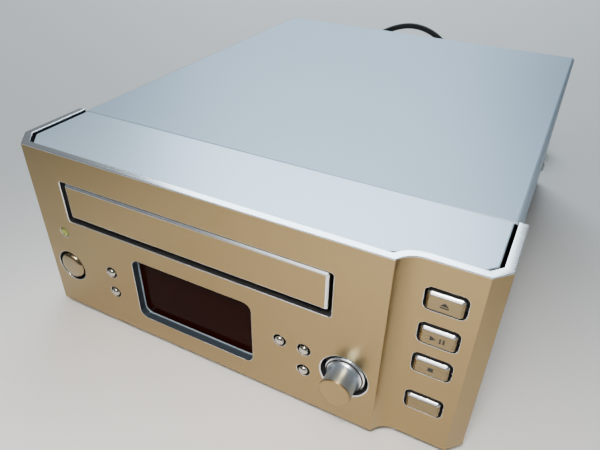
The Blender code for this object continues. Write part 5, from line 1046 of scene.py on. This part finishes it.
# %% One screw head with its cross
SCREW_RADIUS = 0.0028
SCREW_RISE = 0.0017
SCREW_EDGE = 0.0006
CROSS = [(0.0005, 0.0016, 0.0004), (0.003, 0.0036, 0.0009)]
CROSS_CORNER_SHARE = 0.3
SCREW_HEAD = dome(SCREW_RADIUS, SCREW_RISE, SCREW_EDGE, 5) + [(SCREW_RADIUS, -SCREW_EDGE)]
crown = turned("crown", SCREW_HEAD, (0, 0, 0), "zinc_sheet", "Z", FEW_SIDES)
arms = []
for turn in (0, 90):
    arm = skinned(f"arm_{turn}", [[(x, y, z) for x, y in rounded(length, width, width * CROSS_CORNER_SHARE, 1)]
                                  for z, length, width in CROSS])
    arm.data.transform(Matrix.Rotation(math.radians(turn), 4, "Z"))
    arms.append(arm)
crown = with_change(crown, "DIFFERENCE", arms)
SCREW_MESH = crown.data
bpy.data.objects.remove(crown)
print("screw head:", len(SCREW_MESH.polygons), "faces")

# %% Screws
FACING = {"Y": (-90, "X"), "X": (90, "Y"), "-X": (-90, "Y"), "-Z": (180, "X")}
REAR_FACE = REAR_Y - 0.0005
REAR_SCREWS = [(-0.097, 0.084), (0.0, 0.084), (0.097, 0.084), (-0.097, 0.012), (-0.03, 0.012), (0.045, 0.012),
               (0.097, 0.012), (0.056, 0.052), (0.012, 0.0405)]
COVER_SCREWS = (-0.062, 0.112)
COVER_SCREW_Z = 0.021
PAN_SCREWS = [(-0.06, -0.09), (-0.06, 0.06), (0.06, -0.09), (0.06, 0.06)]


def screw(name, place, axis, turn):
    """One screw head on a surface that faces along axis; turn is how far its cross is turned."""
    piece = bpy.data.objects.new(name, SCREW_MESH)
    bpy.context.scene.collection.objects.link(piece)
    degrees, about = FACING[axis]
    piece.matrix_world = (Matrix.Translation(place) @ Matrix.Rotation(math.radians(degrees), 4, about)
                          @ Matrix.Rotation(turn, 4, "Z"))
    return fitted(piece, "zinc_sheet", body="player")


screws = [("rear", (x, REAR_FACE, z), "Y", 1.3) for x, z in REAR_SCREWS]
screws += [("cover", (-COVER_HALF, y, COVER_SCREW_Z), "-X", 0.9) for y in COVER_SCREWS]
screws += [("cover", (COVER_HALF, y, COVER_SCREW_Z), "X", 0.9) for y in COVER_SCREWS]
screws += [("pan", (x, y, FOOT), "-Z", 0.7) for x, y in PAN_SCREWS]
for k, (kind, place, axis, turn) in enumerate(screws):
    screw(f"{kind}_screw_{k}", place, axis, k * turn)
print(len(screws), "screws")

# %% [markdown]
# ## Sockets and the boot of the lead
# The line sockets wear plated sleeves over coloured washers, the aerial block has a threaded sleeve and two
# levers, and a ribbed boot guards the lead where it leaves. The thread could be a true spiral, but at this
# size rings of two radii look the same and take far fewer faces.

# %% Sleeves and washers of the line sockets
SOCKETS = [(0.005, 0.017), (0.005, 0.031), (0.019, 0.017), (0.019, 0.031)]
RED_FROM_X = 0.01
SLEEVE = [(0.00432, 0.0007), (0.00432, 0.0078), (0.0042, 0.0081), (0.0035, 0.0081), (0.0033, 0.0079),
          (0.0033, 0.0007)]
WASHER = [(0.0045, -0.0003), (0.0056, -0.0003), (0.0056, 0.0006), (0.0053, 0.001), (0.0045, 0.001)]
FINISHES["red_moulding"] = moulded("red_moulding", (0.42, 0.02, 0.02), 0.35)
for k, (x, z) in enumerate(SOCKETS):
    sleeve = turned(f"socket_sleeve_{k}", SLEEVE, (x, REAR_Y, z), "chrome_caps", "Y", 32)
    fitted(sleeve, "chrome_caps", body="player")
    colour = "red_moulding" if x > RED_FROM_X else "white_moulding"
    washer = turned(f"socket_washer_{k}", WASHER, (x, REAR_Y, z), colour, "Y", 32)
    fitted(washer, "white_moulding", body="player")
print(len(SOCKETS), "line sockets")

# %% Aerial sockets
AERIAL_Z = 0.052
COAX = (0.0685, REAR_Y, AERIAL_Z)
THREAD = [(0.0047 - 0.0002 * (k % 2), 0.0042 + k * 0.00026) for k in range(16)]
COAX_SLEEVE = [(0.0047, 0.0034), *THREAD, (0.0046, 0.0091), (0.0037, 0.0091), (0.0035, 0.0088),
               (0.0035, 0.0072)]
COAX_CORE = [(0.0034, 0.007), (0.0034, 0.0082), (0.0012, 0.0082), (0.0009, 0.0078)]
LEVER_X = 0.0822
LEVER_PITCH = 0.0076
LEVER = (0.0056, 0.0098, 0.0012)
LEVER_STEPS = [(0, 0.0033), (0, 0.005), (0.0002, 0.0056), (0.0007, 0.0058)]


def lever_loop(less, spot, y):
    """The outline of a lever, drawn in by less all round."""
    width, height, radius = LEVER
    return facing(rounded(width - 2 * less, height - 2 * less, radius - less), spot, REAR_Y + y)


fitted(turned("coax_sleeve", COAX_SLEEVE, COAX, "chrome_caps", "Y", 36), "chrome_caps", body="player")
fitted(turned("coax_core", COAX_CORE, COAX, "white_moulding", "Y", FEW_SIDES), "white_moulding", body="player")
for k, slot_name in enumerate(("white_moulding", "black_moulding")):
    spot = (LEVER_X + k * LEVER_PITCH, AERIAL_Z)
    lever = skinned(f"aerial_lever_{k}", [lever_loop(less, spot, y) for less, y in LEVER_STEPS], slot_name)
    fitted(lever, slot_name, body="player")
print(len(THREAD) // 2, "turns of thread")

# %% Ribbed boot of the lead
BOOT = (-0.048, REAR_FACE, 0.076)
BOOT_RIBS = 6
BOOT_START = 0.0205
RIB_PITCH = 0.003
RIB_RADIUS = 0.0032
RIB_GROWTH = 0.00023
BOOT_TIP = [(0.0025, 0.022), (0.0031, 0.022), (0.0033, 0.0214)]
RIB_STEPS = [(0, 0), (0.0006, 0.0003), (0.0006, 0.0011), (-0.0001, 0.0014)]
BOOT_FLANGE = [(0.0046, 0.0022), (0.0062, 0.0022), (0.0062, 0.0003), (0.0046, 0.0003), (0.0046, -0.0032),
               (0.0025, -0.0032)]
ribs = []
for k in range(BOOT_RIBS):
    start = BOOT_START - k * RIB_PITCH
    radius = RIB_RADIUS + RIB_GROWTH * (k + 0.5)
    ribs += [(radius - less, start - drop) for less, drop in RIB_STEPS]
relief = turned("lead_boot", BOOT_TIP + ribs + BOOT_FLANGE, BOOT, "black_rubber", "Y", 36)
fitted(relief, "black_rubber", "cord_grommet")
print("boot:", len(relief.data.polygons), "faces")

# %% [markdown]
# ## Everything inside
# The pieces of the mechanism are right as they are, but moulded and pressed pieces have no knife edges. They
# could all be built again with round edges, but a modifier does it for every one at once: a copy of each
# solid gets its coplanar faces merged and its sharp edges broken, and stands in for it.

# %% Eased copies of the inner pieces
MERGE_DISTANCE = 0.000001
FLAT_ANGLE = math.radians(1)
EASED_ANGLE = math.radians(40)
EASES = {
    0.0004: ["disc_tray", "loader_frame", "traverse", "pickup_sled", "clamper", "turntable",
             "power_transformer", "heat_sink", "antenna_terminals", "line_jacks"],
    0.0002: ["clamp_bridge", "loader_bracket_left", "loader_bracket_right", "chassis_pan", "rear_panel",
             "front_board", "key_board", "main_board", "tuner_can", "jog_encoder", "jog_shaft", "cam_slider",
             "loading_motor", "spindle_motor", "sled_motor", "guide_rod_left", "guide_rod_right"],
    0.00012: ["tray_gear", "belt_wheel", "motor_pulley", "sled_gear", "drive_belt", "flat_cable", "cord_tie"],
}


def eased(node, width):
    """A copy of a solid with its sharp edges broken."""
    shape = bmesh.new()
    shape.from_mesh(frame["nodes"][node].data)
    bmesh.ops.remove_doubles(shape, verts=shape.verts, dist=MERGE_DISTANCE)
    bmesh.ops.dissolve_limit(shape, angle_limit=FLAT_ANGLE, verts=shape.verts, edges=shape.edges)
    mesh = bpy.data.meshes.new(node)
    shape.to_mesh(mesh)
    shape.free()
    piece = piece_from(node + "_eased", mesh, FINISHES[slot_of[node]])
    change = piece.modifiers.new("ease", "BEVEL")
    change.width = width
    change.segments = 2
    change.limit_method = "ANGLE"
    change.angle_limit = EASED_ANGLE
    return fitted(settled(piece), slot_of[node], node)


for width, nodes in EASES.items():
    for node in nodes:
        eased(node, width)
    print(len(nodes), "pieces eased by", round(width * MM_PER_METRE, 2), "mm")

# %% [markdown]
# ## The plug and what hangs on the lead
# A moulded plug is one skin from its ribbed boot to its face, waisted where fingers hold it. It could be
# joined from a block and rings, but then the joins would show. Two flat plated blades stand in the face, each
# with the round hole that a socket's spring snaps into.

# %% Body of the plug
plug_low, plug_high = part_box("mains_plug")
PLUG_Y = (plug_low[1] + plug_high[1]) / 2
PLUG_Z = (plug_low[2] + plug_high[2]) / 2
PLUG_WIDTH = 0.02
PLUG_HEIGHT = 0.0125
PLUG_CORNER = 0.0035
PLUG_FACE = -0.0053
PLUG_BACK = 0.0177
PLUG_STEPS = [
    (0.0022, PLUG_BACK), (0.0007, PLUG_BACK - 0.0005), (0, PLUG_BACK - 0.0018), (0, 0.014), (0.0008, 0.0115),
    (0.0008, 0.0015), (0, -0.001), (0, PLUG_FACE + 0.001), (0.0003, PLUG_FACE + 0.0003), (0.001, PLUG_FACE),
]
PLUG_TIP = [(0.00245, 0.0315), (0.0026, 0.0313)]
PLUG_RING_SHARE = 0.97
PLUG_RIBS = 5
PLUG_RIB_START = 0.0305
PLUG_RIB_PITCH = 0.0025
PLUG_RIB_RADIUS = 0.0027
PLUG_RIB_GROWTH = 0.0003
PLUG_RIB_STEPS = [(0, 0), (0.0005, 0.0004), (0.0005, 0.0013), (-0.0001, 0.0017)]


def across(points, x, middle=0.0):
    """Points of an outline that stands across the plug, at x along it."""
    return [(x, PLUG_Y + middle + y, PLUG_Z + z) for y, z in points]


def plug_ring(radius):
    """A nearly round section of the plug's boot, with as many points as the plug's body has."""
    return rounded(2 * radius, 2 * radius, radius * PLUG_RING_SHARE, FINE_STEPS)


def plug_section(less):
    """The section of the plug's body, drawn in by less all round."""
    return rounded(PLUG_WIDTH - 2 * less, PLUG_HEIGHT - 2 * less, PLUG_CORNER - less, FINE_STEPS)


loops = [across(plug_ring(radius), x) for radius, x in PLUG_TIP]
for k in range(PLUG_RIBS):
    start = PLUG_RIB_START - k * PLUG_RIB_PITCH
    radius = PLUG_RIB_RADIUS + k * PLUG_RIB_GROWTH
    loops += [across(plug_ring(radius - less), start - drop) for less, drop in PLUG_RIB_STEPS]
loops += [across(plug_section(less), x) for less, x in PLUG_STEPS]
plug = fitted(skinned("plug", loops), "black_moulding", "mains_plug")
print("plug:", len(plug.data.polygons), "faces")

# %% Blades of the plug
BLADE_TIP = plug_low[0]
BLADE_THICK = 0.0015
BLADE_WIDTH = 0.0063
BLADE_CORNER = 0.0002
BLADE_ASIDE = 0.00635
BLADE_STEPS = [(0, 0, PLUG_FACE + 0.001), (0, 0, BLADE_TIP + 0.0009), (0.0004, 0.0008, BLADE_TIP + 0.0002),
               (0.0008, 0.0014, BLADE_TIP)]
HOLE_RADIUS = 0.0016
HOLE_REACH = 0.002
HOLE_X = BLADE_TIP + 0.0042
blades = []
for side in (-1, 1):
    middle = side * BLADE_ASIDE
    blade_loops = [across(rounded(BLADE_THICK - thinner, BLADE_WIDTH - narrower, BLADE_CORNER, 2), x, middle)
                   for thinner, narrower, x in BLADE_STEPS]
    blade = skinned(f"plug_blade_{len(blades)}", blade_loops, "zinc_sheet")
    hole = turned("blade_hole", [(HOLE_RADIUS, -HOLE_REACH), (HOLE_RADIUS, HOLE_REACH)],
                  (HOLE_X, PLUG_Y + middle, PLUG_Z), "zinc_sheet", "Y", 20)
    blades.append(fitted(with_change(blade, "DIFFERENCE", [hole]), "zinc_sheet", body="player"))
print(len(blades), "blades")

# %% Solids still shown as they were packed
print("nodes left as packed:", [name for name, node in frame["nodes"].items() if not node.hide_render])

# %% [markdown]
# ## Floor and light
# The player stands on a plain pale floor. In the photograph the top is lit by a cool window behind the player
# and the front by warmer light that gathers on the table before it, brightest towards the right. A picture of
# a room could light it all at once, but three lamps are easier to steer: one broad lamp behind, one high in
# front, and a small one that makes a soft pool on the floor, which the panel mirrors.

# %% Floor
FLOOR_SIZE = 6.0
floor_finish = Finish("pale_floor", (0.74, 0.72, 0.69), 0.6)
floor_finish.tinted(floor_finish.noise(3.0), spread=0.02)
floor_mesh = bpy.data.meshes.new("floor")
reach = FLOOR_SIZE / 2
floor_mesh.from_pydata([(-reach, -reach, 0), (reach, -reach, 0), (reach, reach, 0), (-reach, reach, 0)], [],
                       [(0, 1, 2, 3)])
floor_mesh.materials.append(floor_finish.material)
floor = bpy.data.objects.new("floor", floor_mesh)
bpy.context.scene.collection.objects.link(floor)
print("floor:", FLOOR_SIZE, "m wide")

# %% Sky and lamps
SKY_COLOUR = (0.9, 0.95, 1.0, 1.0)
SKY_STRENGTH = 0.18
world = bpy.data.worlds.new("room")
bpy.context.scene.world = world
world.use_nodes = True
sky = world.node_tree.nodes["Background"]
sky.inputs["Color"].default_value = SKY_COLOUR
sky.inputs["Strength"].default_value = SKY_STRENGTH


def soft_lamp(name, place, target, size, power, colour, spread=math.pi):
    """A square lamp that looks at a point; a small spread keeps its light in a pool."""
    data = bpy.data.lights.new(name, "AREA")
    data.spread = spread
    data.size = size
    data.energy = power
    data.color = colour
    lamp = bpy.data.objects.new(name, data)
    bpy.context.scene.collection.objects.link(lamp)
    lamp.location = place
    lamp.rotation_euler = (Vector(target) - Vector(place)).to_track_quat("-Z", "Y").to_euler()


soft_lamp("window_lamp", (-0.6, 1.4, 1.35), (0, 0, 0.05), size=1.4, power=40.0, colour=(0.76, 0.9, 1.0))
soft_lamp("pool_lamp", (0.1, -0.5, 0.7), (0.06, -0.28, 0.0), size=0.2, power=0.95, colour=(1.0, 0.97, 0.92),
          spread=0.8)
soft_lamp("front_lamp", (-0.2, -1.1, 1.2), (-0.02, -0.14, 0.05), size=0.9, power=5.0, colour=(1.0, 0.99, 0.97))
print(len(bpy.data.lights), "lamps")
